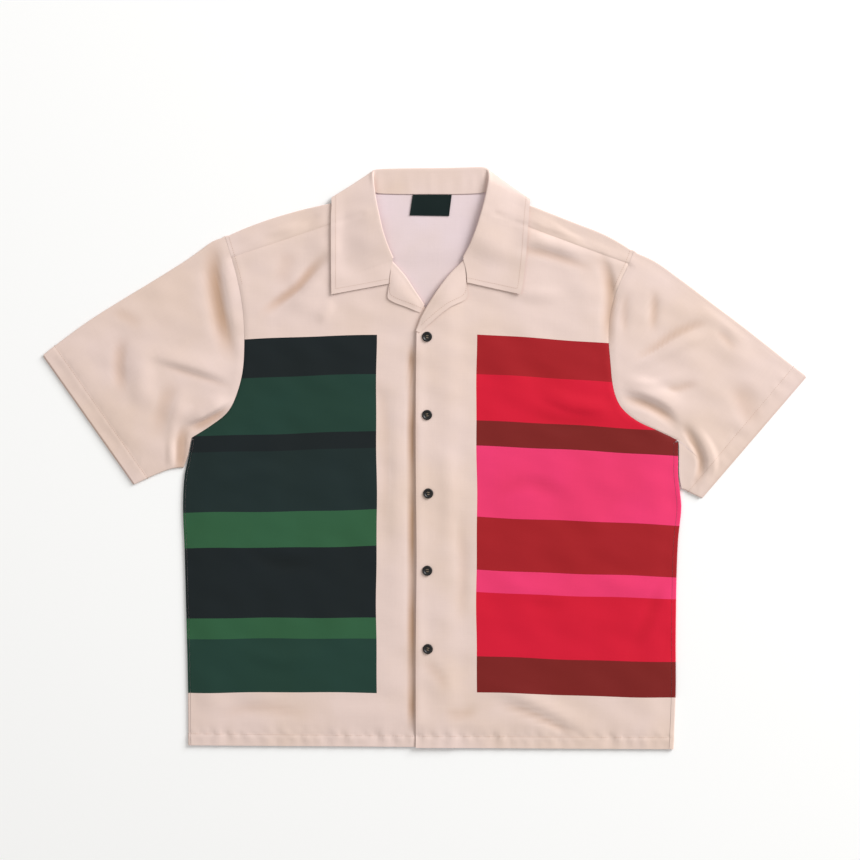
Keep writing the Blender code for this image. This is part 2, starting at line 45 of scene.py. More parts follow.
BOX_MIDDLE_Y = 1.78   # the tables' y at the shirt's origin

# -------------------------------- the shirt's form, as its solids have it
WALL = 1.1            # thickness of the solids' walls
GAP = 0.35
LAYER = WALL + GAP
TURN_RISE = 1.9       # from the back to the front where the cloth turns over at an edge
LOFT = 1.5            # further rise of the front away from the edges
EDGE_SOFT = 34.0
FOLD_SOFT = 13.0      # how close to a turned edge the folds come
SEAM_INSET = {"right": 3.0, "left": 5.5}
OUT = {"right": 1.0, "left": -1.0}   # 1 where the outer side of a line that runs up is to its left
HEM_PEEK = 2.2
MIDDLE_X = 7.0
BACK_RISE_X = 160.0
BACK_RISE_Y = 236.0
BACK_RISE_SOFT = 28.0
TURN_INSET = TURN_RISE / 2 + WALL / 2
LEAF_LIFT = 0.4
LEAF_AIR = 0.4
LAPEL_AIR = 0.3
LAPEL_UNDER = 7.0
COLLAR_ROLL = 1.15

# Edges of the pieces, hem to collar or shoulder to hem, as (x, y)
SIDE = {
    "right": [(-295, -357), (-296, -270), (-298, -190), (-300, -113), (-302, -57), (-300, -20),
              (-297, -6), (-294.5, 5), (-292.5, 15), (-291, 25)],
    "left": [(311, -362), (314, -290), (314, -225), (315, -150), (317, -100), (321, -60),
             (319, -38), (317, -20), (317, 0), (317, 22)]}
ARMHOLE = {
    "right": [(-291, 27), (-267, 42), (-246, 59), (-235, 80), (-227, 111), (-225, 150),
              (-227, 188), (-233, 222), (-241, 252)],
    "left": [(317, 24), (291, 36), (264, 49), (245, 66), (236, 88), (232, 122), (230, 155),
             (233, 186), (242, 216), (255, 244)]}
CENTRE = {
    "right": [(19, -359), (19, -240), (19, -120), (19, 0), (19, 90)],
    "left": [(-11, -360), (-11, -240), (-10, -120), (-11, 0), (-11, 90)]}
CLOSING = {
    "right": [(19, 90), (19, 158), (9, 178), (-1, 192)],
    "left": [(-11, 90), (-10, 160)]}
LAPEL_FOLD = {
    "right": [(-1, 192), (-12, 208), (-26, 229), (-41, 246)],
    "left": [(-10, 160), (-3, 177), (6, 193), (19, 213), (33, 231), (50, 248)]}
NECKLINE = {
    "right": [(-41, 246), (-58, 258), (-69, 274), (-75, 290), (-77, 306)],
    "left": [(50, 248), (67, 258), (78, 274), (85, 291), (87, 307)]}
FORWARD_SEAM = {
    "right": [(-241, 252), (-181, 272), (-118, 293), (-77, 306)],
    "left": [(255, 244), (194, 266), (130, 290), (87, 307)]}
SHOULDER_FOLD = {
    "right": [(-249, 278), (-224, 289), (-188, 302), (-151, 312.5), (-113, 321), (-74, 332)],
    "left": [(261, 260), (242, 272), (223, 282), (182, 298), (151, 310), (130, 318), (90, 332)]}
BACK_NECK = [(-74, 332), (-53, 330.5), (7, 330), (68, 330.5), (90, 332)]
SLEEVE_TOP = {
    "right": [(-249, 278), (-264, 273), (-281, 261), (-298, 249), (-336, 225), (-379, 199),
              (-420, 173), (-457, 146), (-476, 131)],
    "left": [(261, 260), (289, 247), (320, 225), (357, 197), (406, 160), (454, 122), (476, 105)]}
SLEEVE_UNDER = {
    "right": [(-303, -10), (-317, -12), (-331, -17), (-347, -24), (-362, -31)],
    "left": [(323, -37), (333, -42), (345, -48)]}
SLEEVE_BESIDE = {
    "right": [(-300.8, -9), (-295.6, 5), (-293.2, 17)],
    "left": [(321, -36), (318.2, -20), (317.9, -2), (317.9, 14)]}
LAPEL_EDGE = {
    "right": [(-5.5, 183), (-22, 190), (-38, 196), (-45.5, 201), (-46, 206.5), (-44.3, 217.0)],
    "left": [(-6, 158), (14, 176), (32, 190), (50, 199), (54, 205), (52.5, 218.5)]}

# Collar: (leaf_x, leaf_y, leaf_layer, fold_x, fold_y, seam_x, seam_y, turn) along the collar
COLLAR = {"right": [
    (-116.5, 221.0, 1.0, -38.5, 251.5, -42.5, 252.0, 90),
    (-116.7, 243.0, 1.0, -46.0, 269.0, -54.0, 262.0, 90),
    (-116.8, 265.0, 1.0, -51.5, 286.0, -64.0, 277.0, 90),
    (-116.8, 288.0, 1.0, -56.0, 305.0, -71.0, 295.0, 90),
    (-116.6, 305.0, 1.0, -60.0, 325.0, -73.0, 313.0, 84),
    (-116.0, 317.0, 0.97, -62.5, 343.0, -72.0, 325.0, 66),
    (-116.2, 323.5, 0.8, -63.4, 352.0, -70.5, 331.0, 40),
    (-115.6, 327.0, 0.5, -63.6, 357.5, -69.0, 334.5, 6),
    (-113.0, 327.0, 0.2, -62.6, 361.0, -67.0, 335.0, -28),
    (-108.5, 323.0, 0.02, -60.0, 362.3, -64.0, 334.5, -60),
    (-97.0, 311.0, 0.0, -54.0, 363.0, -56.0, 332.5, -84),
    (-75.0, 301.5, 0.0, -40.0, 363.5, -42.0, 331.8, -90),
    (-40.0, 296.5, 0.0, -18.0, 364.0, -18.0, 331.5, -90),
    (7.0, 294.5, 0.0, 7.0, 364.2, 7.0, 331.5, -90)], "left": [
    (123.0, 221.0, 1.0, 47.5, 253.0, 51.5, 253.5, 90),
    (125.5, 243.0, 1.0, 55.5, 268.0, 63.0, 262.5, 90),
    (127.5, 265.0, 1.0, 62.5, 285.0, 74.0, 277.0, 90),
    (129.0, 288.0, 1.0, 69.0, 305.0, 81.0, 296.0, 90),
    (130.2, 304.0, 1.0, 74.5, 325.0, 84.0, 313.0, 84),
    (131.0, 315.0, 0.97, 78.5, 345.0, 85.5, 326.0, 66),
    (131.6, 321.5, 0.8, 79.2, 353.5, 85.5, 331.5, 40),
    (131.4, 325.0, 0.5, 78.8, 359.5, 84.5, 335.0, 6),
    (128.8, 325.2, 0.2, 77.6, 363.0, 82.5, 335.5, -28),
    (124.3, 321.5, 0.02, 75.0, 364.8, 79.5, 335.0, -60),
    (112.0, 310.0, 0.0, 69.0, 365.5, 71.0, 333.0, -84),
    (90.0, 301.5, 0.0, 55.0, 365.2, 57.0, 332.0, -90),
    (54.0, 296.5, 0.0, 33.0, 364.6, 33.0, 331.5, -90),
    (7.0, 294.5, 0.0, 7.0, 364.2, 7.0, 331.5, -90)]}
# The collar's ends, closer to the lapels than in the solids, so that the seam between them closes
COLLAR_END = {"right": [(-116.2, 206.0, -44.7, 219.3), (-116.4, 213.0, -42.9, 234.0)],
              "left": [(119.7, 206.0, 53.2, 220.8), (121.6, 213.0, 51.9, 236.0)]}

# Where the wearer's left front rises over the right one: beside its edge, up to the lapel's end
OVER_X = 52.0
OVER_SOFT_X = 26.0
OVER_Y = 262.0
OVER_SOFT_Y = 60.0
LAPEL_END = (5.0, 176.0)
LAPEL_END_REACH = 66.0
LAPEL_END_SOFT = 44.0

BUTTONS = [(3.1, 153.1), (3.1, 55.6), (4.6, -42.3), (3.4, -138.6), (4.1, -236.3)]
LABEL = [(-18.6, 304.7), (30.6, 303.9), (-14.8, 330.6), (33.9, 330.6)]   # two below, two above

# -------------------------------- finer than the solids
CLOTH = 0.7           # thickness of the cloth that shows
SHARP = math.radians(50)   # faces that meet at more than this keep a sharp edge
SEAM_GAP = 0.16       # half of the gap between two pieces that meet at a seam
HEM_DEPTH = 14.5      # body hem, edge to stitching
SLEEVE_HEM_DEPTH = 17.5
HEM_RISE = 0.35       # how much higher the doubled cloth of a hem lies
HEM_DIP = 0.4         # how far its stitching draws it in, and how wide
HEM_DIP_WIDTH = 1.6
HEM_LOOSE = 0.55      # how far the body's hem puckers, and the sleeves'
SLEEVE_HEM_LOOSE = 0.12
SEAM_DIP = 0.6        # how far a seam draws the cloth in, and how wide
SEAM_DIP_WIDTH = 1.3
SEAM_RIDGE = 0.16     # the rise over the seam's allowance, beside it, and how wide
SEAM_RIDGE_OFF = 7.0
SEAM_RIDGE_WIDTH = 4.0
TROUGH_X = -16.0      # the dip of the lower front beside the closing
TROUGH_DEPTH = 1.3
TROUGH_WIDTH = 4.5
TOPSTITCH = 4.5       # short stitching beside the tops of the armhole seams
EDGE_STITCH = 6.0     # collar and lapel stitching, in from the edge
TURN_STEPS = 8
PANEL_COLUMNS = 74
SIDE_ROWS = 74
HEM_ROWS = 14         # of the side rows, those that lie close together at the hem
HEM_ROWS_PART = 0.07  # and the part of the side's length that they take
CLOSING_ROWS = {"right": 24, "left": 18}
LAPEL_ROWS = {"right": 24, "left": 30}
NECK_ROWS = 18
ARMHOLE_ROWS = 66
SLEEVE_STATIONS = 56
LEAF_COLUMNS = 22
STAND_COLUMNS = 10
COLLAR_PARTS = 6      # finer rows for each row of the collar's tables
LAPEL_COLUMNS = 26
SHOULDER_COLUMNS = 40
NECK_COLUMNS = 50
SHOULDER_ROWS = 16    # from the shoulder's fold to the forward seam
ROWS_OVER_SHOULDER = 10
LAPEL_TIGHT = CLOTH + 0.05   # how far a lapel lies over its front at the low end of its fold
LAPEL_PUFF = 1.4      # how far each lapel stands up between its fold and its edge
STAND_PUCKER = 0.28
BUTTON_STEPS = 48
# (radius, height) from the middle of the top round to that of the back
BUTTON_PROFILE = [(0.0, 1.35), (2.4, 1.38), (3.4, 1.5), (4.1, 1.95), (4.6, 2.3), (5.2, 2.45),
                  (5.8, 2.3), (6.15, 1.95), (6.35, 1.5), (6.2, 1.05), (5.6, 0.6), (4.2, 0.25),
                  (2.0, 0.05), (0.0, 0.0)]
BUTTON_TURN = 0.25    # the most that a button is turned either way, in radians
BUTTON_LIFT = 0.25
HOLE = 1.3
HOLE_SPACING = 2.5
THREAD = 0.42         # thickness of sewing thread
STITCH_RISE = CLOTH / 2 + 0.04   # from the middle of the cloth to the middle of a stitch
SLEEVE_GRAIN = {"right": -32.0, "left": 35.0}   # how far each sleeve's grain leans, in degrees
LAPEL_GRAIN = 8.0
LABEL_CLOTH = 0.6     # the label's thickness, its gap to the back, its buckle and its ends' rise
LABEL_AIR = 0.45
LABEL_BUCKLE = 0.35
LABEL_ENDS = 0.3

# Finishes: screen colours
CREAM = (229, 206, 198)
INSIDE = (229, 210, 214)
LABEL_COLOUR = (14, 30, 30)
THREAD_COLOUR = (182, 148, 126)
DARK_THREAD = (150, 134, 112)
BUTTON_COLOUR = (13, 10, 11)
# Painted shade: fronts and sleeves are darkened and warmed towards this colour in the valleys of
# their creases and in the dip beside the closing edge, fully where a valley is this deep in
# millimetres
CREASE_PAINTED_SHADE = (0.68, 0.54, 0.40, 1.0)
CREASE_SHADE_DEPTH = 4.6
CRINKLE_DEPTH = 0.00012              # in metres
ROUGHNESS_SPREAD = 0.08
GOLDEN = (0.97, 0.955, 0.90, 1.0)    # the cloth is a little yellower in patches
BAND_BOTTOM = -291.0
BAND_TOP = 156.0
GREEN_EDGE_X = -60.0
RED_EDGE_X = 65.0
BEYOND_X = 400.0      # further out than the body's cloth
# Bands from the lowest up: (share of the height, colour)
GREEN_BANDS = [(0.15, (31, 61, 52)), (0.06, (47, 92, 62)), (0.2, (23, 31, 34)),
               (0.1, (47, 92, 62)), (0.17, (27, 42, 42)), (0.05, (23, 31, 34)),
               (0.16, (31, 61, 52)), (0.11, (23, 31, 34))]
RED_BANDS = [(0.1, (124, 32, 30)), (0.18, (212, 22, 52)), (0.06, (236, 58, 112)),
             (0.15, (165, 28, 36)), (0.2, (236, 58, 112)), (0.07, (124, 32, 30)),
             (0.13, (212, 22, 52)), (0.11, (165, 28, 36))]

# Studio: lights as (name, place, power, size) in metres and watts
CAMERA_HEIGHT = 3.0
SENSOR_WIDTH = 36.0
PHOTO_WIDTH = 1.075
PHOTO_MIDDLE = (0.0068, 0.035)
FLOOR_COLOUR = (0.98, 0.98, 0.98, 1.0)
FLOOR_REACH = 6.0
FLOOR_HEIGHT = -0.0004
WORLD_LIGHT = 0.52
WORLD_COLOUR = (1.0, 0.985, 0.955, 1.0)
LAMP_COLOUR = (0.985, 0.995, 1.0)
LIGHTS = [("key", (4.0, 3.1, 2.73), 335.0, 3.0), ("fill", (-1.5, 0.6, 2.4), 6.0, 2.0)]

# Folds and creases as they lie: (height, width to the line's left, width to its right, line)
CREASES = [
    # wearer's right sleeve
    (-4.0, 10, 22, [(-262, 284), (-260, 228), (-254, 187), (-244, 145), (-237, 116)]),
    (1.2, 8, 11, [(-250, 262), (-245, 228), (-240, 187), (-232, 145)]),
    (2.7, 24, 9, [(-352, 132), (-306, 121), (-268, 109), (-232, 96)]),
    (-0.9, 7, 9, [(-340, 122), (-306, 112), (-268, 100), (-230, 88)]),
    (2.6, 22, 22, [(-348, 52), (-353, 100), (-356, 152)]),
    (-2.0, 13, 14, [(-376, 160), (-381, 118), (-376, 76)]),
    (1.5, 13, 20, [(-320, 16), (-310, 48), (-300, 92)]),
    (-1.2, 16, 18, [(-308, 104), (-326, 66), (-334, 24)]),
    (4.4, 6, 22, [(-238, 80), (-256, 66), (-282, 52), (-303, 46)]),
    (-2.8, 12, 7, [(-240, 68), (-262, 54), (-285, 42), (-302, 37)]),
    (-3.0, 14, 12, [(-304, 58), (-304, 20), (-306, -34)]),
    (1.5, 8, 8, [(-317, 34), (-317, 10), (-317, -18)]),
    (-0.9, 12, 12, [(-396, 188), (-372, 178), (-348, 164)]),
    # wearer's right front
    (-3.1, 11, 10, [(-114, 262), (-138, 240), (-158, 216), (-178, 201), (-212, 176)]),
    (1.8, 22, 10, [(-112, 246), (-136, 222), (-158, 200), (-186, 182)]),
    (-0.8, 18, 18, [(-166, 266), (-174, 240), (-180, 210)]),
    (1.4, 14, 9, [(-134, 170), (-122, 184), (-113, 200)]),
    (-1.0, 14, 14, [(-70, 120), (-50, 60), (-46, -30), (-52, -110)]),
    (1.2, 20, 20, [(-34, 120), (-36, 20), (-33, -120), (-35, -240)]),
    (1.3, 18, 18, [(-260, -40), (-215, -15), (-160, -20)]),
    (-1.2, 16, 12, [(-240, -100), (-190, -130), (-120, -128)]),
    (1.4, 20, 14, [(-250, -230), (-190, -250), (-110, -244)]),
    (-1.0, 12, 12, [(-270, -318), (-200, -310), (-130, -322)]),
    (0.9, 12, 12, [(-110, -308), (-70, -316), (-30, -306)]),
    # wearer's left front
    (2.2, 16, 9, [(112, 279), (150, 270), (178, 262), (206, 254)]),
    (-1.8, 9, 10, [(104, 265), (150, 257), (180, 248), (216, 234)]),
    (-2.9, 7, 16, [(212, 266), (226, 245), (233, 222), (234, 196), (231, 160), (232, 124)]),
    (2.6, 22, 8, [(80, -288), (132, -303), (170, -322), (204, -338)]),
    (-1.6, 7, 9, [(84, -302), (132, -316), (168, -334), (196, -346)]),
    (-1.0, 10, 14, [(-8, -248), (12, -262), (34, -292)]),
    (1.1, 14, 14, [(90, 215), (140, 205), (190, 212)]),
    (-1.2, 18, 12, [(120, 60), (170, 44), (228, 46)]),
    (1.6, 18, 12, [(140, 84), (190, 66), (236, 66)]),
    (-1.0, 16, 16, [(80, -40), (130, -30), (180, -45)]),
    (1.2, 20, 20, [(200, -130), (250, -160), (300, -150)]),
    (1.3, 22, 16, [(90, -150), (140, -170), (200, -165)]),
    (-1.0, 14, 14, [(250, -250), (280, -200), (296, -140)]),
    (-0.9, 12, 12, [(40, -60), (48, -130), (44, -220)]),
    (0.9, 16, 16, [(24, 40), (30, -40), (26, -150)]),
    (-1.2, 9, 12, [(20, -312), (44, -318), (70, -310)]),
    # wearer's left sleeve
    (-2.0, 10, 8, [(254, 118), (284, 136), (316, 158), (366, 178)]),
    (2.6, 9, 10, [(254, 108), (286, 126), (320, 144), (372, 166)]),
    (1.6, 6, 8, [(252, 98), (290, 96), (330, 112)]),
    (-1.4, 8, 8, [(290, 86), (315, 88), (345, 98)]),
    (3.6, 22, 8, [(240, 90), (272, 84), (302, 70), (326, 50)]),
    (-3.0, 7, 12, [(240, 78), (270, 72), (298, 58), (322, 38)]),
    (2.4, 24, 8, [(352, -36), (361, -8), (356, 14), (336, 44)]),
    (-3.2, 10, 8, [(320, 50), (329, 34), (342, 10), (346, -6), (342, -22), (332, -38)]),
    (-1.2, 26, 18, [(382, 98), (400, 66), (412, 38)]),
    (-0.9, 12, 10, [(364, 166), (377, 150), (390, 134)]),
    (-1.8, 8, 9, [(288, 216), (287, 190), (284, 154)]),
    (-1.2, 7, 9, [(254, 214), (250, 186), (250, 150)]),
    (1.2, 16, 16, [(330, 190), (372, 172), (410, 138)]),
    # under the collar's leaf, and over the shoulders
    (-1.7, 14, 34, [(-100, 226), (-101, 262), (-98, 300), (-90, 322)]),
    (1.0, 7, 9, [(150, 300), (175, 282), (204, 268)]),
    (-1.0, 8, 8, [(120, 300), (150, 283), (176, 276)]),
    (1.0, 8, 8, [(-150, 296), (-178, 286), (-206, 278)]),
    (-1.2, 8, 9, [(-128, 308), (-142, 297), (-152, 288)])]
RIPPLES = 16          # plane waves that leave the cloth not quite flat
RIPPLE_LENGTHS = (26.0, 90.0)
RIPPLE_HEIGHT = 0.1

EDGE_X = -11.0        # the over front's edge
EDGE_LIFT = 1.5       # how far that edge stands off
EDGE_LIFT_SOFT = 10.0
COLLAR_LIFT = 3.0     # how much higher the collar's fold stands than in the solid, beside the neck
LEAF_EDGE_LIFT = 1.0  # how far the collar's outer edge stands off

rng = np.random.default_rng(7)


# -------------------------------- lines and patches
def smooth(value):
    """0 to 1 with soft ends."""
    value = np.clip(value, 0.0, 1.0)
    return value * value * (3.0 - 2.0 * value)


def bell(values, middle, width):
    """1 at the middle, fading to 0 on both sides."""
    return np.exp(-((values - middle) / width) ** 2)


def unit(vectors):
    return vectors / np.maximum(np.linalg.norm(vectors, axis=-1, keepdims=True), 1e-9)


def strides(points, axis=0):
    """How far each point is from the one before it, along an axis of a line or a grid."""
    return np.linalg.norm(np.diff(points, axis=axis), axis=-1)


def lengths_to(points):
    """How far along a line each of its points is."""
    return np.concatenate([[0.0], np.cumsum(strides(points))])


def curve_through(points, parts):
    """Points along a smooth curve through a table's points, at even steps or at given parts."""
    table = np.array(points, float)
    ahead = np.vstack([table[1:], table[-1:]])
    behind = np.vstack([table[:1], table[:-1]])
    tangents = unit(ahead - behind)
    t = np.linspace(0.0, 1.0, 17)[1:, None]
    fine = [table[:1]]
    for a, b, out_of, into in zip(table, table[1:], tangents, tangents[1:]):
        reach = np.linalg.norm(b - a) / 3.0
        fine.append((1 - t) ** 3 * a + 3 * (1 - t) ** 2 * t * (a + out_of * reach)
                    + 3 * (1 - t) * t ** 2 * (b - into * reach) + t ** 3 * b)
    fine = np.vstack(fine)
    lengths = lengths_to(fine)
    if np.isscalar(parts):
        parts = np.linspace(0.0, 1.0, parts + 1)
    wanted = parts * lengths[-1]
    return np.column_stack([np.interp(wanted, lengths, fine[:, k]) for k in range(fine.shape[1])])


def normals(points):
    """Unit vectors to the left of a line at each of its points."""
    along = unit(np.vstack([points[1:], points[-1:]]) - np.vstack([points[:1], points[:-1]]))
    return np.column_stack([-along[:, 1], along[:, 0]])


def moved_aside(points, distance):
    return points + normals(points) * distance


def straight(a, b, steps):
    part = np.linspace(0.0, 1.0, steps + 1)[:, None]
    return a * (1 - part) + b * part


def between(low_left, low_right, high_left, high_right, u, v):
    """Points between four corners."""
    low = low_left * (1 - u) + low_right * u
    high = high_left * (1 - u) + high_right * u
    return low * (1 - v) + high * v


def patch(start, end, first, last):
    """A grid of points between four edges: start and end of every row, first and last rows."""
    v = np.linspace(0.0, 1.0, len(start))[:, None, None]
    u = np.linspace(0.0, 1.0, len(first))[None, :, None]
    ruled = start[:, None] * (1 - u) + end[:, None] * u + first[None] * (1 - v) + last[None] * v
    return ruled - between(first[0], first[-1], last[0], last[-1], u, v)


def near(points, line):
    """How far each point is from a line, how far along it is, and whether it is to its left."""
    a, b = line[:-1], line[1:]
    along = b - a
    size = np.linalg.norm(along, axis=1)
    part = np.clip(((points[:, None] - a) * along).sum(2) / size ** 2, 0.0, 1.0)
    off = np.linalg.norm(points[:, None] - (a + along * part[..., None]), axis=2)
    which = off.argmin(1)
    rows = np.arange(len(points))
    starts = np.concatenate([[0.0], np.cumsum(size)[:-1]])
    apart = points - a[which]
    left = along[which, 0] * apart[:, 1] - along[which, 1] * apart[:, 0] > 0
    return off[rows, which], starts[which] + part[rows, which] * size[which], left


# -------------------------------- heights of the cloth
HEM_LINE = np.array([SIDE["right"][0], CENTRE["left"][0], SIDE["left"][0]], float)
SLEEVE_HEMS = {side: np.array([SLEEVE_TOP[side][-1], SLEEVE_UNDER[side][-1]], float)
               for side in OUT}
HEMS = [(HEM_LINE, HEM_DEPTH, HEM_LOOSE)]
HEMS += [(line, SLEEVE_HEM_DEPTH, SLEEVE_HEM_LOOSE) for line in SLEEVE_HEMS.values()]
OUTLINE_RUNS = [HEM_LINE[[0, -1]], *SLEEVE_HEMS.values()]
for table in (SIDE, SLEEVE_UNDER, SLEEVE_TOP, SHOULDER_FOLD):
    OUTLINE_RUNS += [np.array(run, float) for run in table.values()]
SEAMS = [curve_through(table[side], 20) for table in (ARMHOLE, FORWARD_SEAM) for side in OUT]
WAVES = [(rng.uniform(0, math.pi), rng.uniform(*RIPPLE_LENGTHS), rng.uniform(0, 2 * math.pi))
         for _ in range(RIPPLES)]


def crease_height(points):
    """The folds and creases at each place, each with a steep side and a gentle one."""
    height = np.zeros(len(points))
    for rise, left_width, right_width, line in CREASES:
        line = curve_through(line, 10)
        reach = max(left_width, right_width)
        close = ((points > line.min(0) - reach) & (points < line.max(0) + reach)).all(1)
        if not close.any():
            continue
        off, along, left = near(points[close], line)
        part = along / strides(line).sum()
        width = np.where(left, left_width, right_width)
        shape = 0.5 + 0.5 * np.cos(math.pi * np.minimum(off / width, 1.0))
        height[close] += rise * smooth(np.minimum(part, 1.0 - part) * 2.6) * shape
    return height


def back_height(points):
    """The back lies on the surface and rises over the part of the collar that lies under it."""
    rise_y = smooth((points[:, 1] - BACK_RISE_Y) / BACK_RISE_SOFT)
    rise_x = smooth((BACK_RISE_X - abs(points[:, 0] - MIDDLE_X)) / BACK_RISE_SOFT)
    return WALL / 2 + LAYER * rise_x * rise_y


def ripples(points):
    height = np.zeros(len(points))
    for turn, length, phase in WAVES:
        along = points @ np.array((math.cos(turn), math.sin(turn)))
        height += RIPPLE_HEIGHT * np.sin(2 * math.pi * along / length + phase)
    return height


def sewn(points):
    """What the sewing does to the cloth: dips at seams, doubled hems, and puckers along them."""
    height = np.zeros(len(points))
    for seam in SEAMS:
        off, along, _ = near(points, seam)
        ridge = SEAM_RIDGE * (1 + 0.6 * np.sin(along / 5.3))
        height += ridge * bell(off, SEAM_RIDGE_OFF, SEAM_RIDGE_WIDTH)
        height -= SEAM_DIP * bell(off, 0.0, SEAM_DIP_WIDTH)
    for hem, depth, loose in HEMS:
        off, along, _ = near(points, hem)
        height += HEM_RISE * smooth((depth + 1.5 - off) / 2.0)
        height -= HEM_DIP * bell(off, depth, HEM_DIP_WIDTH)
        wave = np.sin(along / 2.9 + 1.7 * np.sin(along / 23.0)) + 0.6 * np.sin(along / 4.7)
        pucker = np.sin((along + 0.5 * off) / 2.5 + 2.0 * np.sin(along / 31.0))
        height += loose * wave * bell(off, depth * 0.8, depth * 0.75)
        height += loose * pucker * bell(off, depth, 5.0)
    return height


def closing_trough(points):
    """The wearer's right front dips beside the edge that lies over it."""
    x, y = points[:, 0], points[:, 1]
    dip = TROUGH_DEPTH * bell(x, TROUGH_X, TROUGH_WIDTH) * (1.0 + 0.25 * np.sin(y / 19.0))
    return -dip * smooth((150.0 - y) / 30.0) * smooth((y + 345.0) / 40.0)


def front_height(points):
    """The front over the back: low at the garment's edges, full inside, with all its folds."""
    inside = np.min([near(points, run)[0] for run in OUTLINE_RUNS], axis=0)
    loft = LOFT * smooth(inside / EDGE_SOFT)
    loose = (crease_height(points) + ripples(points)) * smooth(inside / FOLD_SOFT)
    low = back_height(points)
    high = low + TURN_RISE + loft + loose + sewn(points) + closing_trough(points)
    return np.maximum(high, low + CLOTH + 0.1)


def over_height(points):
    """The wearer's left front, which rises over the right one at the closing."""
    x, y = points[:, 0], points[:, 1]
    over = smooth((OVER_X - x) / OVER_SOFT_X) * smooth((OVER_Y - y) / OVER_SOFT_Y)
    off = np.linalg.norm(points - np.array(LAPEL_END), axis=1)
    lapel_end = smooth((LAPEL_END_REACH - off) / LAPEL_END_SOFT)
    edge = EDGE_LIFT * bell(x, EDGE_X, EDGE_LIFT_SOFT) * smooth((168.0 - y) / 20.0)
    low_end = 0.45 + 0.55 * smooth((y + 352.0) / 30.0)
    return front_height(points) + LAYER * (over + lapel_end) + edge * low_end


def at(grid, height):
    """A grid or line of points with their heights."""
    flat = grid.reshape(-1, 2)
    z = height(flat) if callable(height) else np.broadcast_to(height, len(flat))
    return np.column_stack([flat, z]).reshape(grid.shape[:-1] + (3,))


def turned(points, away, low, high, steps=TURN_STEPS):
    """Points round a folded edge from the low layer to the high one: (steps - 1, points, 3)."""
    angle = (math.pi * np.arange(1, steps) / steps - math.pi / 2)[:, None]
    radius = ((high - low) / 2)[None]
    reach = (radius * np.cos(angle))[..., None]
    height = low[None] + radius + radius * np.sin(angle)
    return np.concatenate([points[None] + away[None] * reach, height[..., None]], axis=2)


# -------------------------------- making pieces
def piece_from(name, grid, uv, materials, thickness=CLOTH, keep=None, ring=False, paint_crease_shade=False,
               hem=None):
    """Cloth as a thin shell from a grid of points: its faces, its UV map and its thickness.
    materials holds the finish of the side that the grid faces and of the other one, where the
    cloth that is turned up at a hem shows its outer side again."""
    rows, columns = grid.shape[:2]
    wide = columns if ring else columns - 1
    j, i = np.mgrid[0:rows - 1, 0:wide]
    after = (i + 1) % columns
    quads = np.stack([j * columns + i, j * columns + after, (j + 1) * columns + after,
                      (j + 1) * columns + i], axis=-1)
    turn = np.stack([uv[j, i], uv[j, i + 1], uv[j + 1, i + 1], uv[j + 1, i]], axis=-2)
    if keep is None:
        keep = np.ones((rows - 1, wide), bool)
    quads, turn = quads[keep].reshape(-1, 4), turn[keep].reshape(-1, 2)
    used, quads = np.unique(quads, return_inverse=True)
    quads = quads.reshape(-1, 4)
    points = (grid.reshape(-1, 3)[used] - (0.0, BOX_MIDDLE_Y, 0.0)) * MM
    mesh = bpy.data.meshes.new(name)
    mesh.from_pydata(points.tolist(), [], quads.tolist())
    mesh.uv_layers.new(name="cloth").data.foreach_set("uv", (turn * MM).ravel())
    mesh.shade_smooth()
    # Painted shade: a darker, warmer colour in the valleys of the creases and in the dip beside the
    # closing edge, kept in the creases attribute for the finish to mix in
    if paint_crease_shade:
        plan = grid.reshape(-1, 3)[used, :2]
        painted_crease_shade = np.clip(-crease_height(plan) / CREASE_SHADE_DEPTH - 0.7 * closing_trough(plan), -0.3, 1.0)
        mesh.attributes.new("creases", "FLOAT", "POINT").data.foreach_set("value", painted_crease_shade)
    for material in materials:
        mesh.materials.append(material)
    piece = placed(name, mesh)
    wall = piece.modifiers.new("cloth", "SOLIDIFY")
    wall.thickness = thickness * MM
    wall.offset = 0.0
    wall.material_offset = 1
    settled(piece)
    piece.data.set_sharp_from_angle(angle=SHARP)
    if hem is not None:
        line, depth = hem
        faces = piece.data.polygons
        centres = np.zeros(len(faces) * 3)
        faces.foreach_get("center", centres)
        plan = centres.reshape(-1, 3)[:, :2] / MM + (0.0, BOX_MIDDLE_Y)
        sides = np.zeros(len(faces), int)
        faces.foreach_get("material_index", sides)
        sides[near(plan, line)[0] < depth] = 0
        faces.foreach_set("material_index", sides)
    return piece


def placed(name, data):
    """A new object in the scene."""
    made = bpy.data.objects.new(name, data)
    bpy.context.scene.collection.objects.link(made)
    return made


def as_mesh(made):
    """The plain mesh that an object's modifiers or curve give."""
    graph = bpy.context.evaluated_depsgraph_get()
    return bpy.data.meshes.new_from_object(made.evaluated_get(graph))


def settled(piece):
    """The piece with its modifiers made into plain mesh."""
    finished = as_mesh(piece)
    piece.modifiers.clear()
    old, piece.data = piece.data, finished
    bpy.data.meshes.remove(old)
    return piece


def on_root(piece, slot, *nodes):
    """The piece rides on the shirt's one body, in place of the solids it stands for."""
    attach(piece, "root")
    if nodes:
        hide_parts(*nodes)
    return piece


def spun(points, degrees):
    """Points turned about the upright axis."""
    angle = math.radians(degrees)
    turn = np.eye(points.shape[-1])
    turn[:2, :2] = [[math.cos(angle), math.sin(angle)], [-math.sin(angle), math.cos(angle)]]
    return points @ turn


# -------------------------------- the cut pieces
def whole_faces(there):
    """Which of a grid's faces have all four of their corners."""
    return there[:-1, :-1] & there[1:, :-1] & there[:-1, 1:] & there[1:, 1:]


def lapel_fold(side):
    return curve_through(LAPEL_FOLD[side], LAPEL_ROWS[side])


def inner_edge(side):
    """The front's inner edge above the underarm: closing, lapel fold and neckline."""
    closing = curve_through(CLOSING[side], CLOSING_ROWS[side])
    return np.vstack([closing, lapel_fold(side)[1:], curve_through(NECKLINE[side], NECK_ROWS)[1:]])


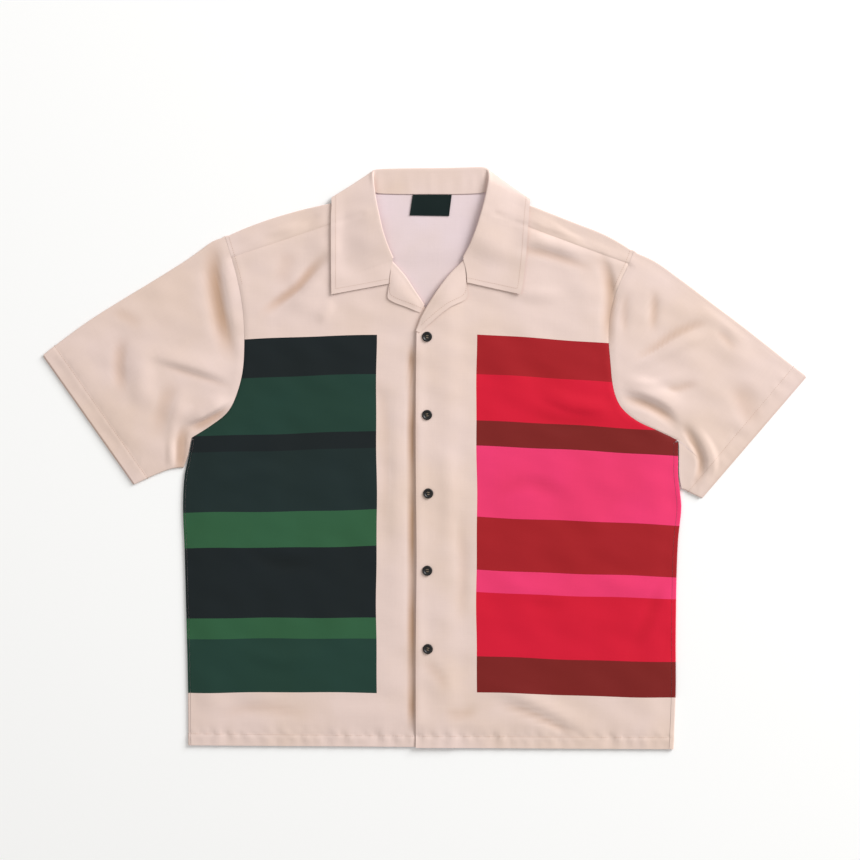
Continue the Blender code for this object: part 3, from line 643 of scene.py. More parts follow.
def side_parts():
    """Steps up the body's side: close together over the hem, then even to the underarm."""
    hem = np.linspace(0.0, HEM_ROWS_PART, HEM_ROWS + 1)
    rest = np.linspace(HEM_ROWS_PART, 1.0, SIDE_ROWS - HEM_ROWS - 1)
    return np.concatenate([hem, rest[1:-1], (0.994, 0.9985, 1.0)])


def panel(side_line, centre_line, arm_line, top_line, inner):
    """A body panel's grid: hem to underarm between its two edges, then underarm to its top."""
    columns = len(top_line) - 1
    middle = straight(arm_line[0], inner[0], columns)
    lower = patch(side_line, centre_line, straight(side_line[0], centre_line[0], columns), middle)
    upper = patch(arm_line, inner, middle, top_line)
    return np.concatenate([lower[:-1], upper])


def band_uv(plan):
    """Places in the fronts' cloth: the printed bands run a little off level, as the cloth lies."""
    x, y = plan[..., 0], plan[..., 1]
    up = np.clip((y - BAND_BOTTOM) / (BAND_TOP - BAND_BOTTOM), 0.0, 1.0)
    right = np.clip(x - GREEN_EDGE_X, None, 0.0) * -0.037 * up
    left = np.clip(x - RED_EDGE_X, 0.0, None) * (0.028 + 0.037 * up)
    wave = 0.5 * np.sin(x / 41.0 + y / 75.0) + 0.3 * np.sin(x / 17.0 - y / 60.0)
    side_wave = 0.5 * np.sin(y / 38.0) + 0.25 * np.sin(y / 15.0 + 1.0)
    return np.stack([x + side_wave, y + right + left + wave], axis=-1)


def front(side, height, materials):
    """One front, from its side seam and armhole to the closing, lapel fold and neckline."""
    body_side = curve_through(SIDE[side], side_parts())
    side_line = moved_aside(body_side, -OUT[side] * (SEAM_INSET[side] + GAP))
    arm_line = moved_aside(curve_through(ARMHOLE[side], ARMHOLE_ROWS), -OUT[side] * SEAM_GAP)
    side_line[-1] = arm_line[0]
    neck_line = inner_edge(side)
    shoulder = curve_through(FORWARD_SEAM[side], PANEL_COLUMNS)
    shoulder[0], shoulder[-1] = arm_line[-1], neck_line[-1]
    centre_line = curve_through(CENTRE[side], side_parts())
    grid = panel(side_line, centre_line, arm_line, shoulder, neck_line)
    uv = band_uv(grid)
    grid = at(grid, height)
    if side == "left":
        grid, uv = grid[:, ::-1], uv[:, ::-1]
    return piece_from("cloth_front_" + side, grid, uv, materials, paint_crease_shade=True)


def armhole_to_fold(side, aside):
    """The armhole's edge, moved aside: to the forward seam, and on to the shoulder's fold."""
    line = curve_through(ARMHOLE[side], ARMHOLE_ROWS)
    end = np.array(SHOULDER_FOLD[side][0], float)
    line = np.vstack([line, straight(line[-1], end, ROWS_OVER_SHOULDER)[1:]])
    return moved_aside(line, aside * OUT[side])


def side_turn(side, line):
    """The back's turn round one side, from the back's edge up and in to the side seam."""
    out = normals(line) * OUT[side]
    rounds = turned(line, out, back_height(line), front_height(line))
    inset = out * (SEAM_INSET[side] - TURN_INSET)
    tops = [at(line - inset * part, front_height) for part in (0.0, 0.5, 1.0)]
    turn = np.concatenate([rounds, np.array(tops)]).transpose(1, 0, 2)
    return turn[:, ::-1] if side == "right" else turn


def back(materials):
    """The back panel, with its turns round both sides and over both shoulders."""
    sides, arms, folds, turns = {}, {}, {}, {}
    for side, out in OUT.items():
        sides[side] = moved_aside(curve_through(SIDE[side], side_parts()), -out * TURN_INSET)
        arms[side] = armhole_to_fold(side, -SEAM_GAP)
        folds[side] = moved_aside(curve_through(SHOULDER_FOLD[side], SHOULDER_COLUMNS),
                                  -out * TURN_INSET)
        turns[side] = side_turn(side, sides[side])
        sides[side][-1], folds[side][0] = arms[side][0], arms[side][-1]
    neck = curve_through(BACK_NECK, NECK_COLUMNS)
    top = np.vstack([folds["right"], neck[1:-1], folds["left"][::-1]])
    flat = at(panel(sides["right"], sides["left"], arms["right"], top, arms["left"]), back_height)
    wide, deep = turns["right"].shape[1], len(flat)
    grid = np.zeros((deep + TURN_STEPS + SHOULDER_ROWS, flat.shape[1] + 2 * wide, 3))
    there = np.zeros(grid.shape[:2], bool)
    grid[:deep, wide:-wide], there[:deep, wide:-wide] = flat, True
    for side, where in (("right", slice(0, wide)), ("left", slice(-wide, None))):
        grid[:len(turns[side]), where] = turns[side]
        there[:SIDE_ROWS, where] = True
    uv = band_uv(grid)
    parts = np.linspace(0.0, 1.0, SHOULDER_ROWS + 1)
    for side, fold in folds.items():
        out = OUT[side]
        end = moved_aside(curve_through(FORWARD_SEAM[side], SHOULDER_COLUMNS), out * SEAM_GAP)
        rounds = turned(fold, normals(fold) * out, back_height(fold), front_height(fold))
        tops = np.array([at(fold * (1 - part) + end * part, front_height) for part in parts])
        strips = np.concatenate([rounds, tops])
        place = slice(wide, wide + SHOULDER_COLUMNS + 1)
        if side == "left":
            strips, place = strips[:, ::-1], slice(-wide - SHOULDER_COLUMNS - 1, -wide)
        grid[deep:, place], there[deep:, place] = strips, True
        uv[deep:, place] = grid[deep - 1, place][None, :, :2]
        uv[deep:, place, 1] += np.cumsum(strides(grid[deep - 1:, place]), axis=0)
    return piece_from("cloth_back", grid, uv, materials, keep=whole_faces(there))


def facing(side, height, materials):
    """A lapel: under the front's edge, round its fold and out to the lapel's edge."""
    fold = lapel_fold(side)
    edge = curve_through(LAPEL_EDGE[side], LAPEL_ROWS[side])
    out = normals(fold) * -OUT[side]
    row = np.linspace(0.0, 1.0, len(fold))
    clear = smooth(row * 6.0)
    over = LAPEL_TIGHT + (LAYER - LAPEL_TIGHT) * clear
    low, under = height(fold) - LAYER, fold - out * LAPEL_UNDER
    rounds = turned(fold, out, low, height(fold) + over)
    width = np.linalg.norm(edge - fold, axis=1)
    puff = LAPEL_PUFF * smooth(np.minimum(row * 5.0, (1.0 - row) * 2.6)) * smooth(width / 30.0)
    leaf = []
    for part in np.linspace(0.0, 1.0, LAPEL_COLUMNS):
        spot = fold * (1 - part) + edge * part
        rise = over + LAPEL_AIR * smooth(part * 4) * clear + puff * math.sin(math.pi * part) ** 2
        leaf.append(at(spot, height(spot) + rise))
    grid = np.concatenate([[at(under, height(under) - LAYER), at(fold, low)], rounds, leaf])
    grid = grid.transpose(1, 0, 2)
    uv = spun(grid[..., :2], LAPEL_GRAIN * OUT[side])
    leaf = grid[:, :-LAPEL_COLUMNS - 1:-1]
    if side == "right":
        grid, uv = grid[:, ::-1], uv[:, ::-1]
    return piece_from("cloth_facing_" + side, grid, uv, materials), leaf


def finer(table, parts):
    """A table's rows at finer steps along a smooth curve through them."""
    table = np.array(table, float)
    t = np.arange(len(table))
    wanted = np.linspace(0, len(table) - 1, (len(table) - 1) * parts + 1)
    before = np.vstack([table[:1], table[:-1]])
    after = np.vstack([table[1:], table[-1:]])
    slope = (after - before) / 2.0
    i = np.minimum(wanted.astype(int), len(table) - 2)
    f = (wanted - t[i])[:, None]
    a, b, m, n = table[i], table[i + 1], slope[i], slope[i + 1]
    return ((1 + 2 * f) * (1 - f) ** 2 * a + f * (1 - f) ** 2 * m
            + f ** 2 * (3 - 2 * f) * b + f ** 2 * (f - 1) * n)


def leaf_across(leaf, seam, top=None):
    """A row of the collar's leaf over the front, from its outer edge to a height at the other."""
    parts = np.linspace(0.0, 1.0, LEAF_COLUMNS + 1)
    row = at(straight(leaf, seam, LEAF_COLUMNS), front_height)
    row[:, 2] += LAYER + LEAF_AIR
    rise = LEAF_LIFT if top is None else top - row[-1, 2]
    row[:, 2] += rise * smooth(parts) + LEAF_EDGE_LIFT * smooth(1.0 - parts * 3.0)
    return row


def collar_half(side):
    """The collar from one end to its middle: the leaf, its fold and the stand, and which of
    its places are there."""
    table, width = COLLAR[side], LEAF_COLUMNS + TURN_STEPS + STAND_COLUMNS + 1
    tips = COLLAR_END[side] + [table[0][:2] + table[0][3:5]]
    tips, table = finer(tips, COLLAR_PARTS)[:-1], finer(table, COLLAR_PARTS)
    grid = np.zeros((len(tips) + len(table), width, 3))
    there = np.ones(grid.shape[:2], bool)
    there[:len(tips), LEAF_COLUMNS + 1:] = False
    for row, tip in zip(grid, tips):
        row[:LEAF_COLUMNS + 1] = leaf_across(tip[:2], tip[2:])
    angle = (math.pi * np.arange(TURN_STEPS + 1) / TURN_STEPS)[:, None]
    low_centre = WALL / 2 + COLLAR_ROLL
    for number, values in enumerate(table):
        row, leaf, layer = grid[len(tips) + number], values[:2], min(max(values[2], 0.0), 1.0)
        fold, seam, tilt = values[3:5], values[5:7], math.radians(values[7])
        out = unit(fold - (leaf + seam) / 2)
        aside = math.cos(tilt) * OUT[side]
        over = np.array((-out[1] * aside, out[0] * aside, math.sin(tilt)))
        low = back_height(seam[None])[0]
        seam_z = low + (front_height(seam[None])[0] - low) * layer
        top = seam_z + COLLAR_LIFT * smooth(number / (2.0 * COLLAR_PARTS)) + COLLAR_ROLL
        middle = fold - out * (COLLAR_ROLL + WALL / 2)
        centre = np.append(middle, low_centre + (top - low_centre) * layer)
        start = centre + over * COLLAR_ROLL
        across = leaf_across(leaf, start[:2], start[2])
        across[:, 2] = WALL / 2 + (across[:, 2] - WALL / 2) * layer
        row[:LEAF_COLUMNS + 1] = across
        around = (centre + over * COLLAR_ROLL * np.cos(angle)
                  + np.append(out, 0.0) * COLLAR_ROLL * np.sin(angle))
        row[LEAF_COLUMNS:LEAF_COLUMNS + TURN_STEPS + 1] = around
        stand = straight(around[-1], np.append(seam, seam_z), STAND_COLUMNS)
        row[LEAF_COLUMNS + TURN_STEPS:] = stand
    return grid, there


def collar(materials):
    """Leaf, fold and stand in one, from the right end round the neck to the left end."""
    right, there_r = collar_half("right")
    left, there_l = collar_half("left")
    grid = np.concatenate([right, left[-2::-1]])
    there = np.concatenate([there_r, there_l[-2::-1]])
    # puckers of the stand where the neck seam gathers it, and its slight slack between
    along = lengths_to(grid[:, -1])
    wave = np.sin(along / 2.6 + 1.3 * np.sin(along / 11.0)) + 0.5 * np.sin(along / 6.1)
    for step in range(STAND_COLUMNS + 1):
        part = step / STAND_COLUMNS
        lift = STAND_PUCKER * wave * math.sin(math.pi * (0.25 + 0.7 * part)) * part
        grid[:, LEAF_COLUMNS + TURN_STEPS + step, 2] += np.where(there[:, -1], lift, 0.0)
    uv = np.zeros(grid.shape[:2] + (2,))
    uv[1:, :, 0] = np.cumsum(strides(grid).clip(0, 12), axis=0).mean(1)[:, None]
    uv[:, 1:, 1] = np.cumsum(strides(grid, 1).clip(0, 12), axis=1)
    piece = piece_from("cloth_collar", grid, uv, materials, keep=whole_faces(there))
    return piece, grid[:, :LEAF_COLUMNS + 1]


def sleeve(side, materials):
    """A flat tube of rings from the armhole to the straight hem."""
    parts = np.concatenate([np.linspace(0.0, 0.9, SLEEVE_STATIONS - HEM_ROWS + 1),
                            np.linspace(0.9, 1.0, HEM_ROWS + 1)[1:]])
    out = OUT[side]
    top_line = moved_aside(curve_through(SLEEVE_TOP[side], parts), out * TURN_INSET)
    under_line = moved_aside(curve_through(SLEEVE_UNDER[side], parts), -out * TURN_INSET)
    arm, beside = armhole_to_fold(side, SEAM_GAP), SLEEVE_BESIDE[side]
    beside = curve_through(beside + [tuple(arm[0])], 3 * len(beside))
    arm_line = np.vstack([beside[:-1], arm])[::-1]
    top_line[0], under_line[0] = arm_line[0], arm_line[-1]
    hem = straight(top_line[-1], under_line[-1], len(arm_line) - 1)
    to_hem = unit(top_line[-1] - top_line[-2]) * HEM_PEEK
    top_out, under_out = normals(top_line) * -out, normals(under_line) * out
    reach = np.linalg.norm(top_line[-1] - top_line, axis=1)
    grid = []
    for j, line in enumerate(patch(top_line, under_line, arm_line, hem)):
        peek = to_hem * smooth(1.0 - reach[j] / 40.0)
        upper, lower = at(line, front_height), at(line + peek, WALL / 2)
        round_under = turned(line[-1:], under_out[j:j + 1], lower[-1:, 2], upper[-1:, 2])[::-1, 0]
        round_top = turned(line[:1], top_out[j:j + 1], lower[:1, 2], upper[:1, 2])[:, 0]
        grid.append(np.vstack([upper, round_under, lower[::-1], round_top])[::-int(out)])
    grid = np.array(grid)
    uv = spun(grid[..., :2], SLEEVE_GRAIN[side])
    uv = np.concatenate([uv, uv[:, :1]], axis=1)
    return piece_from("cloth_sleeve_" + side, grid, uv, materials, ring=True, paint_crease_shade=True,
                      hem=(SLEEVE_HEMS[side], SLEEVE_HEM_DEPTH))


def label(materials):
    """The bare woven label inside the back, a little buckled, its ends turned under."""
    across, down = np.meshgrid(np.linspace(0.0, 1.0, 41), np.linspace(0.0, 1.0, 23))
    plan = between(*np.array(LABEL, float), across[..., None], down[..., None])
    bow = LABEL_BUCKLE * np.sin(math.pi * across) * np.sin(math.pi * np.clip(down * 1.2, 0, 1))
    edge = LABEL_ENDS * smooth(1 - np.minimum(across, 1 - across) * 50 / 3.5)
    grid = at(plan, back_height)
    grid[..., 2] += WALL / 2 + LABEL_AIR + bow + edge
    return piece_from("cloth_label", grid, plan, materials, thickness=LABEL_CLOTH)


def set_down(points, x, y, lift, turn):
    """A button's own points, in metres at its place on the shirt."""
    return (spun(points, math.degrees(turn)) + (x, y - BOX_MIDDLE_Y, lift)) * MM


def button_turned(name, x, y, material):
    """A four-hole shirt button: rolled rim, dished middle and rounded holes."""
    shape, drills = bmesh.new(), bmesh.new()
    turns = 2 * math.pi * np.arange(BUTTON_STEPS) / BUTTON_STEPS
    rings = [[shape.verts.new((r * math.cos(a), r * math.sin(a), z)) for a in turns]
             for r, z in curve_through(BUTTON_PROFILE, 22)[1:-1]]
    for upper, lower in zip(rings, rings[1:]):
        for corners in zip(upper, lower, lower[1:] + lower[:1], upper[1:] + upper[:1]):
            shape.faces.new(corners)
    shape.faces.new(rings[0])
    shape.faces.new(rings[-1][::-1])
    bmesh.ops.recalc_face_normals(shape, faces=shape.faces)
    for sx, sy in ((-1, -1), (-1, 1), (1, -1), (1, 1)):
        drill = bmesh.ops.create_cone(drills, cap_ends=True, segments=16, radius1=HOLE / 2,
                                      radius2=HOLE / 2 + 0.15, depth=2.6)
        bmesh.ops.translate(drills, verts=drill["verts"],
                            vec=(sx * HOLE_SPACING / 2, sy * HOLE_SPACING / 2, 1.0))
    pieces = []
    for part, made in ((name, shape), (name + "_drills", drills)):
        mesh = bpy.data.meshes.new(part)
        made.to_mesh(mesh)
        made.free()
        mesh.materials.append(material)
        pieces.append(placed(part, mesh))
    button, cutter = pieces
    cut = button.modifiers.new("holes", "BOOLEAN")
    cut.object = cutter
    cut.solver = "EXACT"
    settled(button)
    bpy.data.objects.remove(cutter)
    lift = over_height(np.array([[x, y]]))[0] + CLOTH / 2 + BUTTON_LIFT
    turn = rng.uniform(-BUTTON_TURN, BUTTON_TURN)
    points = np.zeros(len(button.data.vertices) * 3)
    button.data.vertices.foreach_get("co", points)
    points = set_down(points.reshape(-1, 3), x, y, lift, turn)
    button.data.vertices.foreach_set("co", points.ravel())
    button.data.shade_smooth()
    button.data.set_sharp_from_angle(angle=SHARP)
    return button, (x, y, lift, turn)


def thread_through(name, place, material):
    """The thread that holds a button: two turns side by side across each pair of its holes."""
    half = HOLE_SPACING / 2
    data = bpy.data.curves.new(name, "CURVE")
    data.dimensions = "3D"
    data.bevel_depth = THREAD / 2 * MM
    data.bevel_resolution = 2
    data.use_fill_caps = True
    u = np.linspace(-1.0, 1.0, 13)
    arch = 1.0 + 0.75 * np.sqrt(np.maximum(1.0 - np.abs(u) ** 4, 0.0))
    for row in (-half - 0.2, -half + 0.2, half - 0.2, half + 0.2):
        path = set_down(np.column_stack([u * half * 1.06, np.full(13, row), arch]), *place)
        spline = data.splines.new("POLY")
        spline.points.add(len(path) - 1)
        spline.points.foreach_set("co", np.column_stack([path, np.ones(len(path))]).ravel())
    data.materials.append(material)
    drawn = placed(name, data)
    mesh = as_mesh(drawn)
    bpy.data.objects.remove(drawn)
    return placed(name, mesh)


# -------------------------------- node trees
def wire(tree, node, inputs):
    """Gives each of a node's inputs its number, its colour or another node's output."""
    for name, value in dict(inputs).items():
        if isinstance(value, bpy.types.NodeSocket):
            tree.links.new(value, node.inputs[name])
        else:
            node.inputs[name].default_value = value
    return node


def wired(tree, kind, inputs=(), **settings):
    """A new node with its settings and inputs."""
    node = tree.nodes.new(kind)
    for name, value in settings.items():
        setattr(node, name, value)
    return wire(tree, node, inputs)


def new_tree(name, kind, takes, gives):
    """A tree with its sockets, given as (name, kind), and what comes into it."""
    tree = bpy.data.node_groups.new(name, kind)
    for way, sockets in (("INPUT", takes), ("OUTPUT", gives)):
        for socket, of_kind in sockets:
            tree.interface.new_socket(socket, in_out=way, socket_type="NodeSocket" + of_kind)
    return tree, tree.nodes.new("NodeGroupInput").outputs


def sums(tree, operation, *values):
    """A Math node's output, from numbers or outputs."""
    return wired(tree, "ShaderNodeMath", enumerate(values), operation=operation).outputs[0]


def noise(tree, place, scale, detail, roughness=0.5):
    return wired(tree, "ShaderNodeTexNoise", {"Vector": place, "Scale": scale, "Detail": detail,
                                              "Roughness": roughness}).outputs["Fac"]


def ranged(tree, value, low, high, from_low=0.0, from_high=1.0):
    """A value moved from one range into another."""
    return wired(tree, "ShaderNodeMapRange", {"Value": value, "From Min": from_low,
                                              "From Max": from_high, "To Min": low,
                                              "To Max": high}).outputs["Result"]


def mixed(tree, a, b, factor, blend="MIX"):
    return wired(tree, "ShaderNodeMix", {"Factor": factor, "A": a, "B": b}, data_type="RGBA",
                 blend_type=blend).outputs["Result"]


# -------------------------------- stitching
def stitch_tree():
    """Stitches along lines: each line is cut into even steps, with a short thread on each."""
    tree, given = new_tree("stitches_along", "GeometryNodeTree",
                           (("Lines", "Geometry"), ("Pitch", "Float"), ("Stitch", "Float"),
                            ("Thread", "Float"), ("Finish", "Material")),
                           (("Stitches", "Geometry"),))
    line = wired(tree, "GeometryNodeMeshToCurve", {"Mesh": given["Lines"]}).outputs[0]
    steps = wired(tree, "GeometryNodeResampleCurve", {"Curve": line, "Length": given["Pitch"]},
                  mode="LENGTH").outputs[0]
    points = wired(tree, "GeometryNodeCurveToPoints", {"Curve": steps}, mode="EVALUATED").outputs
    turn = wired(tree, "FunctionNodeAlignRotationToVector", {"Vector": points["Tangent"]}, axis="X")
    thread = wired(tree, "GeometryNodeMeshIcoSphere", {"Subdivisions": 1, "Radius": 1.0})
    size = wired(tree, "ShaderNodeCombineXYZ", {"X": given["Stitch"], "Y": given["Thread"],
                                                "Z": given["Thread"]})
    sewn_on = wired(tree, "GeometryNodeInstanceOnPoints",
                    {"Points": points["Points"], "Instance": thread.outputs["Mesh"],
                     "Rotation": turn.outputs[0], "Scale": size.outputs[0]}).outputs[0]
    real = wired(tree, "GeometryNodeRealizeInstances", {"Geometry": sewn_on}).outputs[0]
    soft = wired(tree, "GeometryNodeSetShadeSmooth", {"Geometry": real}).outputs[0]
    done = wired(tree, "GeometryNodeSetMaterial", {"Geometry": soft, "Material": given["Finish"]})
    wired(tree, "NodeGroupOutput", {"Stitches": done.outputs[0]})
    return tree, {item.name: item.identifier for item in tree.interface.items_tree}


STITCHES, STITCH_INPUTS = stitch_tree()


def stitching(name, lines, material, pitch=2.7):
    """One mesh of stitches along lines of points (x, y, z) in millimetres."""
    mesh = bpy.data.meshes.new(name)
    points, edges = [], []
    for line in lines:
        first = len(points)
        points += ((line - (0.0, BOX_MIDDLE_Y, 0.0)) * MM).tolist()
        edges += [(first + i, first + i + 1) for i in range(len(line) - 1)]
    mesh.from_pydata(points, edges, [])
    piece = placed(name, mesh)
    sewing = piece.modifiers.new("stitches", "NODES")
    sewing.node_group = STITCHES
    sewing[STITCH_INPUTS["Pitch"]] = pitch * MM
    sewing[STITCH_INPUTS["Stitch"]] = pitch * 0.4 * MM
    sewing[STITCH_INPUTS["Thread"]] = THREAD / 2 * MM
    sewing[STITCH_INPUTS["Finish"]] = material
    return on_root(settled(piece), "cloth_plain")


def laid(line, height, side=1.0):
    """A line of stitches on the upper or under face of the cloth at a height."""
    return at(line, height(line) if callable(height) else height) + (0.0, 0.0, side * STITCH_RISE)


def stitched_in(grid, side=1.0, ends=True, depth=EDGE_STITCH):
    """A line on a grid's outer face, a depth in from its first column and from its first row."""
    faces = np.cross(np.gradient(grid, axis=1), np.gradient(grid, axis=0)) * side
    grid = grid + unit(faces) * STITCH_RISE
    lines = []
    for block in (grid.transpose(1, 0, 2), grid):
        far = np.concatenate([np.zeros((1, block.shape[1])), np.cumsum(strides(block), axis=0)])
        line = np.array([[np.interp(depth, far[:, i], block[:, i, k]) for k in range(3)]
                         for i in range(block.shape[1])])
        lines.append(line[far[-1] > depth * 1.4])
    edge, end = lines
    first = np.linalg.norm(edge - edge[0], axis=1).searchsorted(depth)
    last = np.linalg.norm(end - end[0], axis=1).searchsorted(depth)
    return np.vstack([end[last:][::-1], edge[first:]]) if ends else edge


def hem_line(side):
    """The line of a sleeve's hem stitching between its two folded edges."""
    ends = []
    for table in (SLEEVE_TOP, SLEEVE_UNDER):
        line = curve_through(table[side], 200)
        ends.append(line[near(line, SLEEVE_HEMS[side])[0] > SLEEVE_HEM_DEPTH][-1])
    return straight(*ends, 90)


def sew_together(thread, collar_grid, lapels):
    """Every line of stitching that shows, and those of the hems underneath."""
    right, left = [straight(a, b, 150) + (0.0, HEM_DEPTH) for a, b in zip(HEM_LINE, HEM_LINE[1:])]
    whole = np.vstack([right, left[1:]])
    stitching("stitches_body_hem", [laid(right[2:-2], front_height), laid(left[2:-2], over_height),
                                    laid(whole, WALL / 2, -1.0)], thread)
    for side in OUT:
        line = hem_line(side)
        stitching(f"stitches_sleeve_hem_{side}",
                  [laid(line, front_height), laid(line, WALL / 2, -1.0)], thread)
    tops = [laid(armhole_to_fold(side, -TOPSTITCH)[-20:-1], front_height) for side in OUT]
    stitching("stitches_armholes", tops, thread)
    middle = len(collar_grid) // 2
    halves = [stitched_in(collar_grid[:middle + 1]),
              stitched_in(collar_grid[middle:][::-1], -1.0)[::-1]]
    stitching("stitches_collar", [np.vstack(halves)], thread)
    for side, grid in lapels.items():
        stitching("stitches_lapel_" + side, [stitched_in(grid, OUT[side], ends=False)], thread)


# -------------------------------- finishes
def linear(colour):
    """A screen colour (0 to 255) as the linear colour that a shader takes."""
    part = np.array(colour, float) / 255.0
    part = np.where(part <= 0.04045, part / 12.92, ((part + 0.055) / 1.055) ** 2.4)
    return tuple(float(value) for value in part) + (1.0,)


def weave_group():
    """Plain weave: threads over and under each other, with thicker and paler ones among them."""
    tree, given = new_tree("plain_weave", "ShaderNodeTree",
                           (("Place", "Vector"), ("Threads", "Float"), ("Slub", "Float")),
                           (("Height", "Float"), ("Shade", "Float")))
    place = given["Place"]
    split = wired(tree, "ShaderNodeSeparateXYZ", {0: place}).outputs
    wander = noise(tree, place, 220.0, 2.0)
    waves = []
    for axis in "XY":
        turns = sums(tree, "MULTIPLY", split[axis], given["Threads"])
        turns = sums(tree, "MULTIPLY_ADD", wander, 0.8, turns)
        waves.append(sums(tree, "SINE", sums(tree, "MULTIPLY", turns, math.pi)))
    over = sums(tree, "MULTIPLY", *waves)
    streaks = []
    for scale in ((30.0, 900.0, 1.0), (900.0, 26.0, 1.0)):
        drawn = wired(tree, "ShaderNodeMapping", {"Vector": place, "Scale": scale}).outputs[0]
        streaks.append(noise(tree, drawn, 1.0, 2.0))
    slub = sums(tree, "MULTIPLY", sums(tree, "ADD", *streaks), given["Slub"])
    wired(tree, "NodeGroupOutput", {"Height": sums(tree, "MULTIPLY_ADD", over, 0.3, slub),
                                    "Shade": sums(tree, "MULTIPLY_ADD", over, 0.12, slub)})
    return tree


WEAVE = weave_group()


def band_colour(tree, place, bands, x_from, x_to, ground):
    """Plain bands across the cloth between two edges, over a ground colour or another output."""
    split = wired(tree, "ShaderNodeSeparateXYZ", {0: place}).outputs
    up = sums(tree, "MULTIPLY_ADD", noise(tree, place, 900.0, 2.0), 0.0005, split["Y"])
    part = ranged(tree, up, 0.0, 1.0, BAND_BOTTOM * MM, BAND_TOP * MM)
    ramp = wired(tree, "ShaderNodeValToRGB", {"Fac": part})
    ramp.color_ramp.interpolation = "CONSTANT"
    stops = ramp.color_ramp.elements
    low = 0.0
    for number, (share, colour) in enumerate(bands):
        stop = stops[number] if number < 2 else stops.new(low)
        stop.position = low
        stop.color = linear(colour)
        low += share
    inside = sums(tree, "GREATER_THAN", split["Y"], BAND_BOTTOM * MM)
    for axis, test, limit in (("Y", "LESS_THAN", BAND_TOP), ("X", "GREATER_THAN", x_from),
                              ("X", "LESS_THAN", x_to)):
        inside = sums(tree, "MULTIPLY", inside, sums(tree, test, split[axis], limit * MM))
    return mixed(tree, ground, ramp.outputs["Color"], inside)


def finish_named(name):
    """A new material, its tree and its shader."""
    material = bpy.data.materials.new(name)
    material.use_nodes = True
    return material, material.node_tree, material.node_tree.nodes["Principled BSDF"]


def uneven_roughness(tree, value, roughness):
    return ranged(tree, value, roughness - ROUGHNESS_SPREAD, roughness + ROUGHNESS_SPREAD)


def cloth_finish(name, colour, roughness=0.6, threads=2600.0, slub=0.5, spread=0.07, bands=()):
    """Cloth of one colour, or with bands: weave, slubs, soft sheen, and painted shade, darker and
    warmer, in its creases.
    """
    material, tree, shader = finish_named(name)
    place = wired(tree, "ShaderNodeUVMap", uv_map="cloth").outputs["UV"]
    weave = wired(tree, "ShaderNodeGroup", {"Place": place, "Threads": threads, "Slub": slub},
                  node_tree=WEAVE).outputs
    ground = linear(colour)
    for row in bands:
        ground = band_colour(tree, place, *row, ground)
    uneven = sums(tree, "MULTIPLY_ADD", noise(tree, place, 26.0, 4.0, 0.6), 0.35,
                  sums(tree, "MULTIPLY", weave["Shade"], 0.65))
    shade = ranged(tree, uneven, 1.0 - spread, 1.0 + spread)
    patches = ranged(tree, noise(tree, place, 7.0, 3.0, 0.55), 0.0, 1.0, 0.4, 0.62)
    golden = mixed(tree, mixed(tree, ground, shade, 1.0, "MULTIPLY"), GOLDEN, patches, "MULTIPLY")
    # painted shade: how far the creases' valleys and the dip beside the closing are darkened and
    # warmed
    creases = wired(tree, "ShaderNodeAttribute", attribute_name="creases").outputs["Fac"]
    crinkle = sums(tree, "MULTIPLY_ADD", noise(tree, place, 60.0, 3.0, 0.6), 2.4, weave["Height"])
    bump = wired(tree, "ShaderNodeBump", {"Strength": 0.5, "Distance": CRINKLE_DEPTH,
                                          "Height": crinkle})
    wire(tree, shader, {"Base Color": mixed(tree, golden, CREASE_PAINTED_SHADE, creases, "MULTIPLY"),
                        "Roughness": uneven_roughness(tree, weave["Shade"], roughness),
                        "Sheen Weight": 0.03, "Sheen Roughness": 0.45, "Specular IOR Level": 0.16,
                        "Normal": bump.outputs["Normal"]})
    return material


def small_finish(name, colour, roughness, uneven, scale, bump_depth):
    """A finish for buttons and thread, from the place in the piece."""
    material, tree, shader = finish_named(name)
    grain = noise(tree, tree.nodes.new("ShaderNodeTexCoord").outputs["Object"], scale, 4.0, 0.6)
    shades = [linear([value * part for value in colour]) for part in (1 - uneven, 1 + uneven)]
    bump = wired(tree, "ShaderNodeBump", {"Distance": bump_depth, "Strength": 0.4, "Height": grain})
    wire(tree, shader, {"Base Color": mixed(tree, *shades, grain),
                        "Roughness": uneven_roughness(tree, grain, roughness),
                        "Normal": bump.outputs["Normal"]})
    return material


# -------------------------------- camera, floor and light
def camera_and_light():
    data = bpy.data.cameras.new("overhead")
    data.sensor_width = SENSOR_WIDTH
    data.lens = SENSOR_WIDTH * CAMERA_HEIGHT / PHOTO_WIDTH
    camera = placed("overhead", data)
    camera.location = (*PHOTO_MIDDLE, CAMERA_HEIGHT)
    bpy.context.scene.camera = camera
    mesh = bpy.data.meshes.new("floor")
    corners = ((-1, -1), (1, -1), (1, 1), (-1, 1))
    mesh.from_pydata([(x * FLOOR_REACH, y * FLOOR_REACH, FLOOR_HEIGHT) for x, y in corners], [],
                     [(0, 1, 2, 3)])
    white, tree, shader = finish_named("floor_white")
    wire(tree, shader, {"Base Color": FLOOR_COLOUR, "Roughness": 0.9, "Specular IOR Level": 0.1})
    mesh.materials.append(white)
    placed("floor", mesh)
    for name, place, power, size in LIGHTS:
        lamp = bpy.data.lights.new(name, "AREA")
        lamp.energy = power
        lamp.color = LAMP_COLOUR
        lamp.size = size
        light = placed(name, lamp)
        light.location = place
        light.rotation_euler = (-Vector(place)).to_track_quat("-Z", "Y").to_euler()
    world = bpy.data.worlds.new("studio")
    world.use_nodes = True
    tree = world.node_tree
    wire(tree, tree.nodes["Background"], {"Color": WORLD_COLOUR, "Strength": WORLD_LIGHT})
    bpy.context.scene.world = world
    bpy.context.scene.view_settings.view_transform = "Standard"


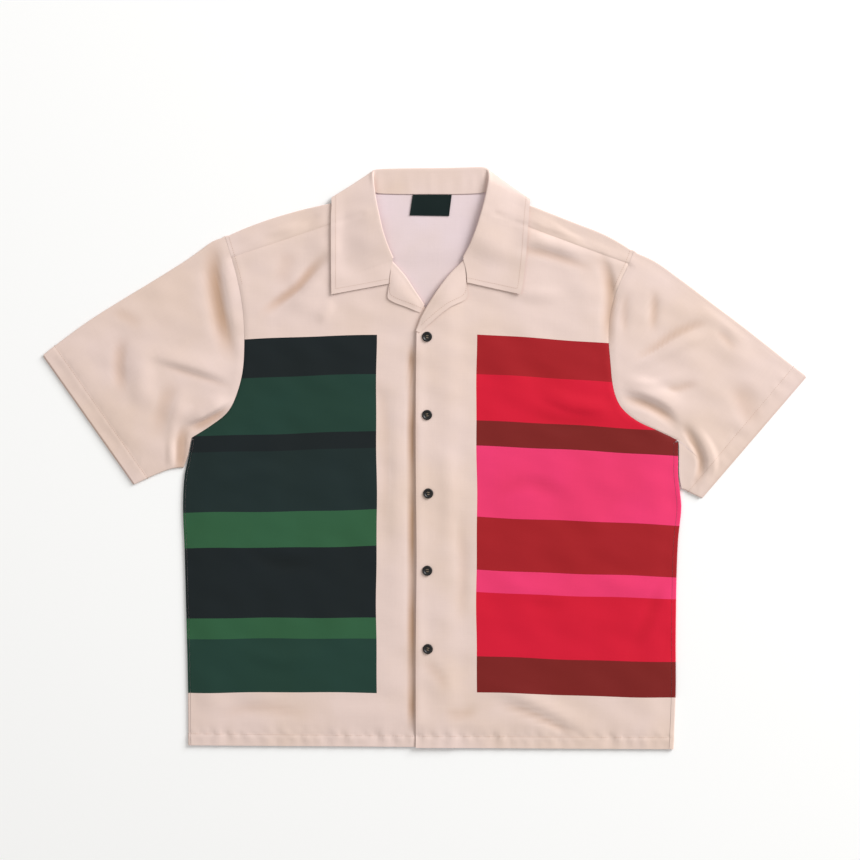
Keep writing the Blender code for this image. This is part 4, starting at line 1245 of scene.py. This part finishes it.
# -------------------------------- the shirt
CLOTH_SLOTS = {"back": "cloth_back_print", "front_right": "cloth_green_print",
               "front_left": "cloth_red_print", "label": "label_cloth"}


def sheet(piece, node):
    on_root(piece, CLOTH_SLOTS.get(node, "cloth_plain"), node)


def dressed():
    cream = cloth_finish("cream_cloth", CREAM)
    inner = cloth_finish("cream_cloth_inside", INSIDE)
    greens, reds = (GREEN_BANDS, -BEYOND_X, GREEN_EDGE_X), (RED_BANDS, RED_EDGE_X, BEYOND_X)
    green = cloth_finish("green_banded_cloth", CREAM, bands=(greens,))
    red = cloth_finish("red_banded_cloth", CREAM, bands=(reds,))
    both = cloth_finish("back_banded_cloth", CREAM, bands=(greens, reds))
    tape = cloth_finish("label_cloth", LABEL_COLOUR, roughness=0.5, threads=4200.0, slub=0.3,
                        spread=0.25)
    thread = small_finish("cream_thread", THREAD_COLOUR, 0.6, 0.08, 2500.0, 0.0001)
    dark_thread = small_finish("brown_thread", DARK_THREAD, 0.6, 0.08, 2500.0, 0.0001)
    horn = small_finish("dark_button", BUTTON_COLOUR, 0.42, 0.35, 260.0, 0.00005)
    sheet(back((inner, both)), "back")
    sheet(front("right", front_height, (green, inner)), "front_right")
    sheet(front("left", over_height, (red, inner)), "front_left")
    lapels = {}
    for side, height, flat, area in (("right", front_height, (0.057, 0.078), 0.0022),
                                     ("left", over_height, (0.07, 0.11), 0.0034)):
        lapel, lapels[side] = facing(side, height, (cream, inner))
        sheet(lapel, "facing_" + side)
    whole_collar, collar_leaf = collar((cream, inner))
    sheet(whole_collar, "collar")
    sheet(sleeve("right", (cream, inner)), "sleeve_right")
    sheet(sleeve("left", (cream, inner)), "sleeve_left")
    sheet(label((tape, tape)), "label")
    for number, (x, y) in enumerate(BUTTONS, 1):
        button, place = button_turned(f"button_{number}_turned", x, y, horn)
        on_root(button, "button", f"button_{number}")
        on_root(thread_through(f"button_{number}_thread", place, dark_thread), "cloth_plain")
    sew_together(thread, collar_leaf, lapels)


camera_and_light()
dressed()
